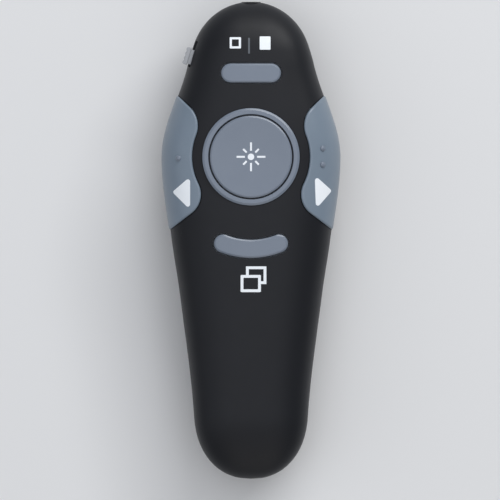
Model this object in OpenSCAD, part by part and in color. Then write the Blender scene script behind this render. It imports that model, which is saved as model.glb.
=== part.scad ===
// Wireless presentation clicker, lying on its back: +Z is the button side, +Y the laser nose.
// The origin is under the middle of the case, on the surface that it rests on. Units are millimetres.

/* [Case] */
// Overall length of the case, nose to tail
body_len = 106; // [104:1:116]
// Half width of the case beside the laser button, its widest place
hip_half = 19.6; // [19.2:0.1:21]
// Half width of the case at the waist, just behind the side keys
waist_half = 17.6; // [17.2:0.1:18.6]
// Half width of the case at the grip
grip_half = 15.8; // [15.4:0.1:16.4]
// Half width of the case where the tail starts to close
tail_half = 12.5; // [12.4:0.1:13.4]
// Half width of the case where the nose starts to close
nose_half = 13.4; // [13.2:0.1:14.4]
// Height of the parting plane between the two shells
split_z = 13; // [12.8:0.1:13.6]
// Rise of the top face above the parting plane, beside the laser button
crown_h = 11; // [10.8:0.1:12]
// Depth of the belly below the parting plane, before its underside is cut flat
belly_h = 14; // [13.8:0.1:14.6]
// Thickness of the shell walls
wall = 1.6; // [1.4:0.05:1.7]
// Squareness of the cross section: 2 is an ellipse, more is boxier
squareness = 2.8; // [2.7:0.05:3.2]

/* [Laser button] */
// Distance from the nose to the centre of the laser button
laser_back = 34.5; // [34:0.1:36]
// Diameter of the laser button
laser_d = 18.2; // [17:0.1:18.6]
// Outer diameter of the ring round the laser button
ring_d = 21.6; // [21.2:0.1:22]
// Height of the laser button above the ring
laser_proud = 0.3; // [0.1:0.05:0.8]

/* [Pill buttons] */
// Distance from the nose to the centre of the blank-screen button
blank_back = 15.9; // [15.7:0.1:16.4]
// Length of the blank-screen button, across the case
blank_len = 13.2; // [11:0.1:13.6]
// Width of the blank-screen button, along the case
blank_w = 4.2; // [3.6:0.1:4.6]
// Distance from the laser button's centre back to the middle of the window button
window_back = 20.4; // [20.2:0.1:22]
// Radius of the bend in the window button's centre line
window_bend_r = 16.9; // [15:0.1:20]
// Half angle of the bend, from the middle to the centre of its round end
window_bend_a = 21.5; // [16:0.5:22]
// Width of the window button, along the case
window_w = 4; // [3.6:0.1:4.4]

/* [Side keys] */
// Radius of the neck of case that runs round the laser ring, inside the side keys
neck_r = 12.9; // [12.6:0.1:13.2]
// Distance from the middle to the front lobe of a side key
front_lobe_x = 11.6; // [11.3:0.1:11.9]
// Radius of the front lobe of a side key
front_lobe_r = 6; // [5.6:0.1:6.2]
// Distance from the middle to the rear lobe of a side key
rear_lobe_x = 10.9; // [10.8:0.1:11.4]
// Radius of the rear lobe of a side key
rear_lobe_r = 5.5; // [5.2:0.1:5.8]
// Height that a side key stands proud of the case
key_proud = 0.4; // [0.2:0.05:0.6]
// Angle that a side key tips through when it is pressed, in degrees
key_tilt = 1.2; // [1:0.1:1.3]

/* [Receiver] */
// Width of the receiver's cap
dongle_w = 14.5; // [13.5:0.1:15]
// Thickness of the receiver's cap
dongle_h = 6.4; // [6:0.1:6.6]
// Length of the receiver's cap
dongle_cap_len = 6.5; // [5:0.1:6.8]

/* [Hidden] */
$fn = 48;

// ---- reference places along the case ----
nose_y = body_len / 2;
tail_y = -body_len / 2;
laser_y = nose_y - laser_back;
blank_y = nose_y - blank_back;
window_y = laser_y - window_back;
window_bend_y = window_y + window_bend_r;

// ---- the case's outline and profile: [place along Y, size] ----
waist_y = laser_y - 18.5;
grip_y = waist_y - 12;
width_at = [
    [tail_y, tail_half - 0.3],
    [tail_y + 11, tail_half],
    [grip_y, grip_half],
    [waist_y, waist_half],
    [laser_y, hip_half],
    [nose_y - 9, nose_half],
    [nose_y, nose_half]
];
crown_at = [
    [tail_y, crown_h - 4],
    [tail_y + 13, crown_h - 2.8],
    [waist_y - 15, crown_h - 1.1],
    [laser_y, crown_h],
    [nose_y - 15, crown_h - 1.4],
    [nose_y, crown_h - 3]
];
belly_at = [
    [tail_y, belly_h - 3],
    [tail_y + 13, belly_h - 1],
    [tail_y + 28, belly_h],
    [nose_y - 25, belly_h],
    [nose_y - 15, belly_h - 1],
    [nose_y, belly_h - 3.5]
];
tail_power = 2.2;
nose_power = 2;
// how far from each end the outline, the crown and the belly start to close
plan_cap = [14, 14];
crown_cap = [15, 11];
belly_cap = [14, 14];

// ---- gaps ----
key_gap = 0.3;
button_gap = 0.36;
seam_gap = 0.15;
slip = 0.05;
travel = 0.5;
press_gap = 0.03;

// ---- circuit board and its switches ----
board_z = split_z + 0.8;
board_t = 1.2;
board_top = board_z + board_t;
switch_side = 6;
switch_h = 3.5;
plunger_r = 1.75;
plunger_out = 0.8;
plunger_top = board_top + switch_h + plunger_out;
side_switch_x = 12.8;
side_switch_y = laser_y - 8;
switch_at = [
    [0, laser_y],
    [0, blank_y],
    [0, window_y],
    [-side_switch_x, side_switch_y],
    [side_switch_x, side_switch_y]
];
chip_half = 3;
chip_h = 1;
chip_x = switch_side / 2 + 4.2;
lead_pitch = 0.94;
chip_y = (laser_y + window_y) / 2 - 0.3;
board_rear_y = window_y - 5;
board_front_y = nose_y - 10.8;
board_post_at = [
    [-13.6, laser_y - 16.5],
    [13.6, laser_y - 16.5],
    [-6.5, laser_y + 11.4],
    [6.5, laser_y + 11.4]
];
board_screw_r = 0.8;
board_screw_head_r = 1.4;
board_screw_head_h = 1;
board_screw_bite = 2.8;
board_post_r = board_screw_r + 1.1;

// ---- laser ----
ferrule_r = 2.4;
ferrule_wall = 0.7;
ferrule_lip = 0.5;
ferrule_y = nose_y - 3.4;
barrel_r = 3;
barrel_back = nose_y - 10.5;
saddle_at = [nose_y - 8.6, nose_y - 5];

// ---- laser button and ring ----
ring_seat_z = split_z + crown_h - 1.4;
ring_top_z = split_z + crown_h + 0.3;
ring_neck_r = ring_d / 2 - 0.8;
ring_bore_r = laser_d / 2 + 0.35;
collar_z = ring_seat_z - 1.6;
collar_r = ring_neck_r + 2;

// ---- side keys ----
key_under_z = split_z + 2.25;
sill_z = split_z + 1.2;
key_wall = 1.6;
hinge_y = laser_y + 16.1;
hinge_z = split_z + 4.2;
hinge_pin_r = 0.8;
hinge_arm_x = 10;
hinge_arm_w = 1.6;
ear_t = 1;
ear_w = 2.8;
ear_x = (hinge_arm_w + ear_t) / 2 + 0.2;
hinge_pin_len = 2 * ear_x + ear_t - 0.2;
key_post = [14, laser_y + 8.1];
key_skirt = 2.3;

// ---- battery bay ----
cell_r = 5.25;
cell_len = 44.5;
cell_nub = 0.8;
cell_x = cell_r + 0.25;
cell_z = cell_r + 2.05;
contact_t = 0.4;
contact_half = 3.7;
tab_half = 1.1;
spring_len = 3.2;
bay_half = 2 * cell_r + 0.5;
bay_front = laser_y - 6.3;
bay_rear = bay_front - cell_len - spring_len - 2 * contact_t;
bay_top = cell_z + cell_r + 0.2;
bay_wall = 0.9;
door_z = 6;
door_front = bay_front + 1.2;
door_wall = 1.5;
door_travel = 9;
door_hook_at = [bay_front - 3.5, bay_front - 10];
door_hook_len = 3;
door_hook_x = bay_half + bay_wall + 0.9;
door_hook_t = 0.6;
door_barb = 0.7;
door_barb_z = door_z + 1.6;
ledge_z = door_z + 0.3;
ledge_t = 1;

// ---- receiver dock ----
plug_len = 12;
dock_half = dongle_w / 2 + 0.35;
dock_rear = bay_front + 3.3;
dock_len = dongle_cap_len + plug_len + 0.9;
dock_top = dongle_h + 0.9;
dock_wall = 1.1;
dongle_z = 0.3;
plug = [12, plug_len, 4.5];
plug_shell_t = 0.3;
plug_root = 4.6;
magnet_r = 2.5;
magnet_t = 1.4;
magnet_y = dock_rear + 3.6;
scoop_x = dock_half + 2.6;
scoop_len = 5.2;
scoop_h = 3;

// ---- case screws ----
screw_r = 1;
screw_head_r = 1.9;
screw_head_h = 1.5;
screw_bite = 4.2;
boss_wall = 1.3;
boss_r = screw_r + boss_wall;
well_r = screw_head_r + 0.2;
front_boss_r = well_r + 1.1;
front_screw_x = barrel_r + 0.4 + front_boss_r;
rear_screw_x = 6.4;
front_screw_y = nose_y - 8;
rear_screw_y = bay_rear - 6;
front_seat_z = split_z - 6.6;
front_boss_z = split_z - 9.2;
shelf_z = door_z + 2.2;
shelf_t = 1.6;
case_screw_at = [
    [-front_screw_x, front_screw_y],
    [front_screw_x, front_screw_y],
    [-rear_screw_x, rear_screw_y],
    [rear_screw_x, rear_screw_y]
];

// ---- power switch ----
power_y = nose_y - 12.3;
power_z = board_top + 1.3;
power_lean = -17;
power_travel = 1.5;
power_knob = [3.9, 1.6];
power_out = 1.5;

// ---- colours ----
black_c = "#26282d";
grey_c = "#76828f";
pale_c = "#a9adb2";
steel_c = "#b9bcc0";
board_c = "#151e1a";

// ================= curves of the case =================

// Slope of a station: the harmonic mean of its two neighbours' slopes, or level at a peak and at the ends
function secant(s, i) = (s[i + 1][1] - s[i][1]) / (s[i + 1][0] - s[i][0]);
function slope(s, i) =
    i == 0 || i == len(s) - 1 ? 0
    : let(a = secant(s, i - 1), b = secant(s, i)) a * b <= 0 ? 0 : 2 * a * b / (a + b);
function span_of(s, y, i = 0) = i >= len(s) - 2 || y < s[i + 1][0] ? i : span_of(s, y, i + 1);
function curve(s, y) =
    let(
        i = span_of(s, y),
        h = s[i + 1][0] - s[i][0],
        u = min(1, max(0, (y - s[i][0]) / h))
    )
    s[i][1] * (1 + 2 * u) * pow(1 - u, 2) + h * slope(s, i) * u * pow(1 - u, 2)
    + s[i + 1][1] * u * u * (3 - 2 * u) + h * slope(s, i + 1) * u * u * (u - 1);

// How far a size has closed at y, from 1 in the body to 0 at the ends; the skin is inset by t
function closing(y, caps, t) =
    let(
        over = y < 0 ? (tail_y + caps[0]) - y : y - (nose_y - caps[1]),
        reach = (y < 0 ? caps[0] : caps[1]) - t,
        u = min(1, max(0, over / reach)),
        e = y < 0 ? tail_power : nose_power
    )
    pow(1 - pow(u, e), 1 / e);
function half_w(y, t = 0) = (curve(width_at, y) - t) * closing(y, plan_cap, t);
function crown(y, t = 0) = (curve(crown_at, y) - t) * closing(y, crown_cap, t);
function belly(y, t = 0) = (curve(belly_at, y) - t) * closing(y, belly_cap, t);

// Height of the top skin and half width of the case at a height, both on the skin inset by t
function top_z(x, y, t = 0) =
    split_z + crown(y, t) * pow(max(0, 1 - pow(abs(x) / half_w(y, t), squareness)), 1 / squareness);
function side_x(y, z, t = 0) =
    let(h = z > split_z ? crown(y, t) : belly(y, t))
    half_w(y, t) * pow(max(0, 1 - pow(abs(z - split_z) / h, squareness)), 1 / squareness);

// One point of the skin: angle 0 is the right seam, 90 the top or the belly, 180 the left seam
function skin(y, a, t, below) =
    let(
        c = cos(a),
        x = half_w(y, t) * sign(c) * pow(abs(c), 2 / squareness),
        rise = pow(max(0, sin(a)), 2 / squareness)
    )
    [x, y, below ? max(t, split_z - belly(y, t) * rise) : split_z + crown(y, t) * rise];

// ================= shell surfaces =================

stations = 38;
sectors = 24;
// Rings from tail to nose, close together at both ends
function station_y(i, t) = -(body_len / 2 - t) * cos(180 * i / stations);

// Two triangles of a quad, turned round when flip is true
function quad(a, b, c, d, flip) = flip ? [[a, c, b], [a, d, c]] : [[a, b, c], [a, c, d]];
function all_of(lists) = [for (l = lists) for (x = l) x];

// Half of the case, above or below the parting plane, between the skins inset by t0 and t1
module half_shell(t0, t1, below) {
    rings = stations - 1;
    row = sectors + 1;
    poles = [[0, tail_y + t0, split_z], [0, nose_y - t0, split_z],
             [0, tail_y + t1, split_z], [0, nose_y - t1, split_z]];
    points = concat(poles, all_of([
        for (t = [t0, t1]) for (i = [1:rings])
            [for (j = [0:sectors]) skin(station_y(i, t), 180 * j / sectors, t, below)]
    ]));
    function at(s, i, j) = 4 + s * rings * row + (i - 1) * row + j;
    walls = [
        for (s = [0, 1]) for (i = [1:rings - 1]) for (j = [0:sectors - 1])
            quad(at(s, i, j), at(s, i, j + 1), at(s, i + 1, j + 1), at(s, i + 1, j),
                 (s == 1) != below)
    ];
    ends = [
        for (s = [0, 1]) for (j = [0:sectors - 1]) [
            (s == 1) != below ? [2 * s, at(s, 1, j), at(s, 1, j + 1)]
                              : [2 * s, at(s, 1, j + 1), at(s, 1, j)],
            (s == 1) != below ? [2 * s + 1, at(s, rings, j + 1), at(s, rings, j)]
                              : [2 * s + 1, at(s, rings, j), at(s, rings, j + 1)]
        ]
    ];
    rim = [
        for (j = [0, sectors]) for (i = [1:rings - 1])
            quad(at(0, i, j), at(0, i + 1, j), at(1, i + 1, j), at(1, i, j), (j > 0) != below)
    ];
    tips = [
        for (j = [0, sectors]) each [
            quad(0, at(0, 1, j), at(1, 1, j), 2, (j > 0) != below),
            quad(at(0, rings, j), 1, 3, at(1, rings, j), (j > 0) != below)
        ]
    ];
    polyhedron(points, concat(all_of(walls), all_of(ends), all_of(rim), all_of(tips)));
}

// A piece of the top skin between y0 and y1 and from angle a0 to a1, as thick as t0 to t1
module skin_patch(t0, t1, y0, y1, a0, a1, rows, cols) {
    points = all_of([
        for (t = [t0, t1]) for (i = [0:rows])
            [for (j = [0:cols]) skin(y0 + (y1 - y0) * i / rows, a0 + (a1 - a0) * j / cols, t, false)]
    ]);
    function at(s, i, j) = s * (rows + 1) * (cols + 1) + i * (cols + 1) + j;
    faces = all_of(concat(
        [for (s = [0, 1]) for (i = [0:rows - 1]) for (j = [0:cols - 1])
            quad(at(s, i, j), at(s, i, j + 1), at(s, i + 1, j + 1), at(s, i + 1, j), s == 1)],
        [for (i = [0:rows - 1]) for (j = [0, cols])
            quad(at(0, i, j), at(0, i + 1, j), at(1, i + 1, j), at(1, i, j), j > 0)],
        [for (j = [0:cols - 1]) for (i = [0, rows])
            quad(at(0, i, j + 1), at(0, i, j), at(1, i, j), at(1, i, j + 1), i > 0)]
    ));
    polyhedron(points, faces);
}

// Outline of the case at height z, on the skin inset by t, between two places along Y
module outline(z, t, y0, y1, steps = 24) {
    side = [for (i = [0:steps]) let(y = y0 + (y1 - y0) * i / steps) [side_x(y, z, t), y]];
    polygon(concat(side, [for (i = [steps:-1:0]) [-side[i][0], side[i][1]]]));
}

// ================= flat shapes of the buttons =================

module pill_shape(len, wid) {
    square([len - wid, wid], center = true);
    for (s = [-1, 1]) translate([s * (len - wid) / 2, 0]) circle(d = wid);
}

// A pill bent round a centre in front of it, grown by g on every side: a narrow arc, a round end,
// a wide arc and the other round end
module bent_pill_shape(r, a, wid, g = 0) {
    n = 14;
    h = wid / 2 + g;
    function on_arc(d, b) = d * [sin(b), -cos(b)];
    function on_end(b, c) = on_arc(r, b) + h * [sin(c), -cos(c)];
    polygon(concat(
        [for (i = [0:n]) on_arc(r + h, -a + 2 * a * i / n)],
        [for (i = [1:n - 1]) on_end(a, a + 180 * i / n)],
        [for (i = [0:n]) on_arc(r - h, a - 2 * a * i / n)],
        [for (i = [1:n - 1]) on_end(-a, -a + 180 + 180 * i / n)]
    ));
}

// Place of a lobe's centre: its circle touches the neck's circle
function lobe(x, r, way) = [x + r, laser_y + way * sqrt(pow(neck_r + r, 2) - pow(x + r, 2))];
front_lobe = lobe(front_lobe_x, front_lobe_r, 1);
rear_lobe = lobe(rear_lobe_x, rear_lobe_r, -1);
front_edge_a = 43;
rear_edge_a = -36;

// Plan of the right-hand side key, taken in by g: two lobes, the neck between them and straight ends
module key_shape(g = 0) {
    far = 14;
    function lobe_edge(c, r, a, way) = c + (r - g) * way * [-sin(a), cos(a)];
    function on_neck(c) = [0, laser_y] + (neck_r + g) * (c - [0, laser_y]) / norm(c - [0, laser_y]);
    front = lobe_edge(front_lobe, front_lobe_r, front_edge_a, 1);
    rear = lobe_edge(rear_lobe, rear_lobe_r, rear_edge_a, -1);
    difference() {
        union() {
            translate(front_lobe) circle(r = front_lobe_r - g);
            translate(rear_lobe) circle(r = rear_lobe_r - g);
            polygon([
                front, front + far * [cos(front_edge_a), sin(front_edge_a)],
                rear + far * [cos(rear_edge_a), sin(rear_edge_a)], rear,
                rear_lobe, on_neck(rear_lobe), on_neck(front_lobe), front_lobe
            ]);
        }
        translate([0, laser_y]) circle(r = neck_r + g);
    }
}

// ================= helpers =================

module at_each(places) {
    for (p = places) translate([p[0], p[1], 0]) children();
}
module post(p, r, z0, z1) {
    translate([p[0], p[1], z0]) cylinder(r = r, h = z1 - z0);
}
module block(x, y, z) {
    translate([x[0], y[0], z[0]]) cube([x[1] - x[0], y[1] - y[0], z[1] - z[0]]);
}
module both_sides() {
    children();
    mirror([1, 0, 0]) children();
}
// A cylinder along +Y from y0 to y1, on the laser's axis
module laser_rod(r, y0, y1, x = 0, z = split_z) {
    translate([x, y0, z]) rotate([-90, 0, 0]) cylinder(r = r, h = y1 - y0);
}

// A pan-head screw standing on its head, which bears upwards at height seat; its tip is at height tip
module screw(p, seat, tip, head_r, head_h, shank_r) {
    z = seat - head_h;
    difference() {
        union() {
            post(p, head_r, z, seat);
            post(p, shank_r, seat - 0.1, tip);
        }
        translate([p[0], p[1], z]) {
            cube([head_r * 1.3, 0.45, head_h], center = true);
            cube([0.45, head_r * 1.3, head_h], center = true);
        }
    }
}

// A tapering coil spring along +Y from y0 to y1, of the given number of turns
module coil(x, y0, y1, z, r0, r1, wire, turns) {
    steps = 20 * turns;
    sides = 6;
    points = all_of([
        for (i = [0:steps])
            let(u = i / steps, a = 360 * turns * u, r = r0 + (r1 - r0) * u, y = y0 + (y1 - y0) * u)
            [for (j = [0:sides - 1])
                let(b = 360 * j / sides, d = r + wire * cos(b))
                [x + d * cos(a), y + wire * sin(b), z + d * sin(a)]]
    ]);
    tube = [
        for (i = [0:steps - 1]) for (j = [0:sides - 1])
            let(k = (j + 1) % sides, p = i * sides, q = p + sides)
            each quad(p + j, p + k, q + k, q + j, false)
    ];
    first = [for (j = [1:sides - 2]) [0, j + 1, j]];
    last = [for (j = [1:sides - 2]) [steps * sides, steps * sides + j, steps * sides + j + 1]];
    polyhedron(points, concat(tube, first, last));
}

// ================= case =================

module lip_band(t0, t1, z0, z1) {
    translate([0, 0, z0]) linear_extrude(z1 - z0) difference() {
        outline(split_z, t0, tail_y + 9, nose_y - 9.5);
        outline(split_z, t1, tail_y + 9, nose_y - 9.5);
    }
}

// Slot in the side wall for the power knob, grown by g
module power_slot(g) {
    translate([-side_x(power_y, power_z), power_y, power_z]) rotate([0, 0, power_lean])
        block([-4, 4.2],
              [-power_knob[0] / 2 - g, power_knob[0] / 2 + power_travel + g],
              [-power_knob[1] / 2 - g, power_knob[1] / 2 + g]);
}

// Top shell: the button side of the case, with the ring's seat and the side keys' hinge ears
module top_shell() {
    color(black_c) difference() {
        union() {
            half_shell(0, wall, false);
            post([0, laser_y], collar_r, collar_z, ring_seat_z);
            both_sides() {
                for (x = [-1, 1]) translate([hinge_arm_x + x * ear_x, 0, 0])
                    block([-ear_t / 2, ear_t / 2], [hinge_y - ear_w / 2, hinge_y + ear_w / 2],
                          [hinge_z - ear_w / 2 - 0.1,
                           top_z(hinge_arm_x + x * ear_x + ear_t / 2, hinge_y + ear_w / 2, wall) + 0.8]);
                // post that the circuit board is screwed to, behind the side key
                post(board_post_at[1], board_post_r, board_top, board_top + 5.2);
                post(board_post_at[3], board_post_r, board_top, collar_z + 0.6);
            }
            for (p = case_screw_at) post(p, boss_r, split_z, split_z + screw_bite + 2);
            for (y = saddle_at) block([-4.6, 4.6], [y - 0.5, y + 0.5], [split_z, split_z + 5.4]);
            laser_rod(ferrule_r + 1.2, ferrule_y + 0.2, nose_y - 1.2);
        }
        // everything of the laser's mounting below the parting plane belongs to the other shell
        block([-6, 6], [nose_y - 12, nose_y + 1], [split_z - 6, split_z]);
        post([0, laser_y], ring_d / 2 + 0.1, ring_seat_z, split_z + crown_h + 4);
        post([0, laser_y], ring_neck_r + 0.1, collar_z - 1, ring_seat_z + 1);
        translate([0, blank_y, split_z + 4]) linear_extrude(crown_h)
            pill_shape(blank_len + 2 * button_gap, blank_w + 2 * button_gap);
        translate([0, window_bend_y, split_z + 4]) linear_extrude(crown_h)
            bent_pill_shape(window_bend_r, window_bend_a, window_w, button_gap);
        both_sides() {
            translate([0, 0, sill_z]) linear_extrude(crown_h + 4) key_shape();
            translate([hinge_arm_x - ear_x - ear_t, hinge_y, hinge_z]) rotate([0, 90, 0])
                cylinder(r = hinge_pin_r + slip, h = 2 * ear_x + 2 * ear_t);
        }
        for (p = board_post_at) post(p, board_screw_r + press_gap, board_top - 1,
                                      board_top + board_screw_bite + 0.8);
        for (p = case_screw_at) post(p, screw_r + press_gap, split_z - 1, split_z + screw_bite + 0.4);
        laser_rod(barrel_r + 0.1, barrel_back - 1, ferrule_y + 0.1);
        laser_rod(ferrule_r + 0.05, ferrule_y, nose_y + 1);
        power_slot(0.3);
    }
}

// Bottom shell: the underside from the receiver's dock to the nose, and the sides above the door
module bottom_shell() {
    bay_out = bay_half + bay_wall;
    dock_front = dock_rear + dock_len;
    color(black_c) difference() {
        union() {
            difference() {
                half_shell(0, wall, true);
                block([-30, 30], [tail_y - 1, door_front + seam_gap], [-1, door_z + seam_gap / 2]);
            }
            lip_band(wall - 0.4, wall + 0.9, split_z - 1.6, split_z);
            lip_band(wall + 0.12, wall + 0.9, split_z - 0.1, split_z + 0.55);
            // box of the battery bay, narrowing with the case at its rear
            translate([0, 0, door_z + 0.4]) linear_extrude(bay_top + 0.75 - door_z - 0.4)
                intersection() {
                    translate([-bay_out, bay_rear - bay_wall])
                        square([2 * bay_out, bay_front - bay_rear + 2 * bay_wall]);
                    outline(split_z, wall + 0.3, tail_y + 9, nose_y - 10);
                }
            block([-7, 7], [bay_front, bay_front + bay_wall], [door_wall + 0.4, door_z + 1]);
            // ledges that the door's hooks run over
            both_sides() block([bay_half + 0.2, bay_out + door_barb],
                               [door_hook_at[0] - door_travel + door_hook_len / 2 + 0.3, bay_front - 1.2],
                               [ledge_z, ledge_z + ledge_t]);
            // shelf and bosses for the rear case screws
            block([-rear_screw_x - boss_r, rear_screw_x + boss_r], [rear_screw_y, bay_rear - bay_wall / 2],
                  [shelf_z, shelf_z + shelf_t]);
            for (i = [2, 3]) post(case_screw_at[i], boss_r, shelf_z, split_z);
            // bosses for the front case screws
            intersection() {
                for (i = [0, 1]) post(case_screw_at[i], front_boss_r, front_boss_z, split_z);
                translate([0, 0, front_boss_z - 1]) linear_extrude(split_z)
                    outline(front_boss_z, wall / 2, front_screw_y - 7, nose_y - 2);
            }
            block([-4.6, 4.6], [saddle_at[0] - 0.5, saddle_at[0] + 0.5], [split_z - 9.4, split_z]);
            block([-4, 4], [saddle_at[1] - 0.5, saddle_at[1] + 0.5], [split_z - 7.6, split_z]);
            laser_rod(ferrule_r + 1.2, ferrule_y + 0.2, nose_y - 1.2);
            // walls of the receiver's dock, its finger scoops and the magnet's cup
            block([-dock_half - dock_wall, dock_half + dock_wall],
                  [dock_rear - dock_wall, dock_front + dock_wall], [1.2, dock_top + dock_wall]);
            block([-scoop_x - 1, scoop_x + 1],
                  [magnet_y - scoop_len / 2 - 1, magnet_y + scoop_len / 2 + 1], [1.2, scoop_h + 1]);
            post([0, magnet_y], magnet_r + 1.1, dock_top, dock_top + dock_wall + magnet_t);
        }
        block([-6, 6], [nose_y - 12, nose_y + 1], [split_z, split_z + 8]);
        block([-bay_half, bay_half], [bay_rear, bay_front], [-1, bay_top]);
        for (s = [-1, 1]) translate([s * cell_x, 0, 0])
            block([-tab_half - 0.15, tab_half + 0.15], [bay_front - contact_t - 0.2, bay_front + 0.01],
                  [bay_top - 0.5, board_z]);
        block([-dock_half, dock_half], [dock_rear, dock_front], [-1, dock_top]);
        block([-scoop_x, scoop_x], [magnet_y - scoop_len / 2, magnet_y + scoop_len / 2], [-1, scoop_h]);
        post([0, magnet_y], magnet_r + slip, dock_top + dock_wall, dock_top + dock_wall + 2 * magnet_t);
        for (p = case_screw_at) post(p, screw_r + 0.15, 0, split_z + 1);
        for (i = [0, 1]) post(case_screw_at[i], well_r, -1, front_seat_z);
        laser_rod(barrel_r + 0.1, barrel_back - 1, ferrule_y + 0.1);
        laser_rod(ferrule_r + 0.05, ferrule_y, nose_y + 1);
    }
    // rib that keeps the two cells apart, under the bay's ceiling
    color(black_c) block([-0.8, 0.8], [bay_rear + 6, bay_front - 6], [bay_top - 1.4, bay_top + 0.1]);
}

// Battery door: the underside behind the dock, tail end included, with hooks and thumb grooves
module battery_door() {
    color(black_c) {
        difference() {
            intersection() {
                half_shell(0, door_wall, true);
                block([-30, 30], [tail_y - 1, door_front], [-1, door_z - seam_gap / 2]);
            }
            for (s = [-1, 1]) translate([s * cell_x, bay_rear, cell_z]) rotate([-90, 0, 0])
                cylinder(r = cell_r + 0.3, h = bay_front - bay_rear);
            // thumb grooves and a sunk arrow, on the flat of the underside
            for (i = [0:5]) block([-8, 8], [-4.5 - 1.8 * i, -3.7 - 1.8 * i], [-1, 0.4]);
            translate([0, -19, -1]) linear_extrude(1.35)
                polygon([[-3.4, 1.8], [3.4, 1.8], [0, -2.2]]);
        }
        for (y = door_hook_at) both_sides() {
            block([door_hook_x, door_hook_x + door_hook_t],
                  [y - door_hook_len / 2, y + door_hook_len / 2], [door_z - 3.7, door_barb_z + ledge_t]);
            block([door_hook_x - door_barb, door_hook_x + 0.1],
                  [y - door_hook_len / 2, y + door_hook_len / 2], [door_barb_z, door_barb_z + ledge_t]);
        }
    }
}

// ================= buttons =================

// Ring round the laser button: a bevelled flange on the case and a neck through its collar
module laser_ring() {
    r = ring_d / 2;
    color(grey_c) translate([0, laser_y, 0]) rotate_extrude($fn = 96) polygon([
        [ring_bore_r, collar_z - 0.9],
        [ring_neck_r + 0.1, collar_z - 0.9],
        [ring_neck_r + 0.35, collar_z - 0.5],
        [ring_neck_r, collar_z - 0.1],
        [ring_neck_r, ring_seat_z + 0.02],
        [r, ring_seat_z + 0.02],
        [r, ring_top_z - 0.6],
        [r - 0.25, ring_top_z - 0.15],
        [r - 0.6, ring_top_z],
        [ring_bore_r + 0.5, ring_top_z],
        [ring_bore_r, ring_top_z - 0.5]
    ]);
}

// Laser button: a round cap with a dished top, a flange under the ring and a stem on its switch
module laser_button() {
    r = laser_d / 2;
    top = ring_top_z + laser_proud;
    low = plunger_top + press_gap;
    flange_z = collar_z - 1.2;
    color(grey_c) translate([0, laser_y, 0]) rotate_extrude($fn = 96) polygon([
        [0, low],
        [plunger_r, low],
        [plunger_r, top - 2.4],
        [r - 1.3, top - 2.4],
        [r - 1.3, flange_z - 0.7],
        [r + 0.6, flange_z - 0.7],
        [r + 0.6, flange_z],
        [r, flange_z],
        [r, top - 0.6],
        [r - 0.2, top - 0.2],
        [r - 0.6, top],
        [r - 2.6, top - 0.12],
        [r - 5.2, top - 0.3],
        [0, top - 0.42]
    ]);
}

// Surface that crowns a pill button: above a wide cylinder that leans forward with the case
module crowned(y, top, slope) {
    intersection() {
        children();
        translate([0, y, top - 60]) rotate([slope, 0, 0]) rotate([90, 0, 0])
            cylinder(r = 60, h = 40, center = true, $fn = 240);
    }
}

// Blank-screen button: a straight pill across the case
module blank_button() {
    top = top_z(0, blank_y) + 0.4;
    low = plunger_top + press_gap;
    color(grey_c) {
        crowned(blank_y, top, -4.5) translate([0, blank_y, low]) linear_extrude(top - low + 1)
            pill_shape(blank_len, blank_w);
        translate([0, blank_y, low]) linear_extrude(0.6) pill_shape(blank_len + 1, blank_w + 1);
    }
}

// Window button: a pill bent round the front of the grip
module window_button() {
    top = top_z(0, window_y) + 0.4;
    low = top_z(9, window_y - 2, wall) - 1.1;
    color(grey_c) {
        crowned(window_y, top, 1.8) translate([0, window_bend_y, low]) linear_extrude(top - low + 1)
            bent_pill_shape(window_bend_r, window_bend_a, window_w);
        translate([0, window_bend_y, low]) linear_extrude(0.8)
            bent_pill_shape(window_bend_r, window_bend_a, window_w, 0.6);
        post([0, window_y], plunger_r, plunger_top + press_gap, low + 0.2);
    }
}

// Right-hand side key: a piece of the case's skin on an arm that hinges at the front
module side_key() {
    y0 = laser_y - 18.5;
    y1 = laser_y + 16;
    difference() {
        intersection() {
            skin_patch(-key_proud, key_skirt, y0 - 0.3, y1 + 0.2, 3, 70, 19, 13);
            translate([0, 0, key_under_z]) linear_extrude(crown_h + 2) key_shape(key_gap);
        }
        intersection() {
            skin_patch(key_wall - key_proud, key_skirt + 2, y0 - 1, y1 + 1, -4, 74, 14, 10);
            translate([0, 0, key_under_z - 1]) linear_extrude(crown_h + 2) key_shape(key_gap + 1.1);
        }
        block([side_switch_x - 3.4, side_switch_x + 3.4], [side_switch_y - 3.4, side_switch_y + 3.4],
              [board_top, board_top + switch_h + 0.9]);
    }
    post([side_switch_x, side_switch_y], 1.4, plunger_top + press_gap, split_z + 8.7);
    post(key_post, 1.2, hinge_z - 0.8, split_z + 7.7);
    translate([0, 0, hinge_z - 0.8]) linear_extrude(1.6) polygon([
        [hinge_arm_x - hinge_arm_w / 2, hinge_y],
        [hinge_arm_x - hinge_arm_w / 2, hinge_y - 4],
        [key_post[0] - 0.7, key_post[1] - 1.1],
        [key_post[0] + 1.1, key_post[1] + 0.7],
        [hinge_arm_x + hinge_arm_w / 2, hinge_y - 2.6],
        [hinge_arm_x + hinge_arm_w / 2, hinge_y]
    ]);
    translate([hinge_arm_x - hinge_arm_w / 2, hinge_y, hinge_z]) rotate([0, 90, 0])
        cylinder(r = 1.4, h = hinge_arm_w);
    translate([hinge_arm_x - hinge_pin_len / 2, hinge_y, hinge_z]) rotate([0, 90, 0])
        cylinder(r = hinge_pin_r, h = hinge_pin_len);
}

// Back key: the left-hand side key
module back_key() {
    color(grey_c) mirror([1, 0, 0]) side_key();
}

// Forward key: the right-hand side key
module forward_key() {
    color(grey_c) side_key();
}

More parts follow.
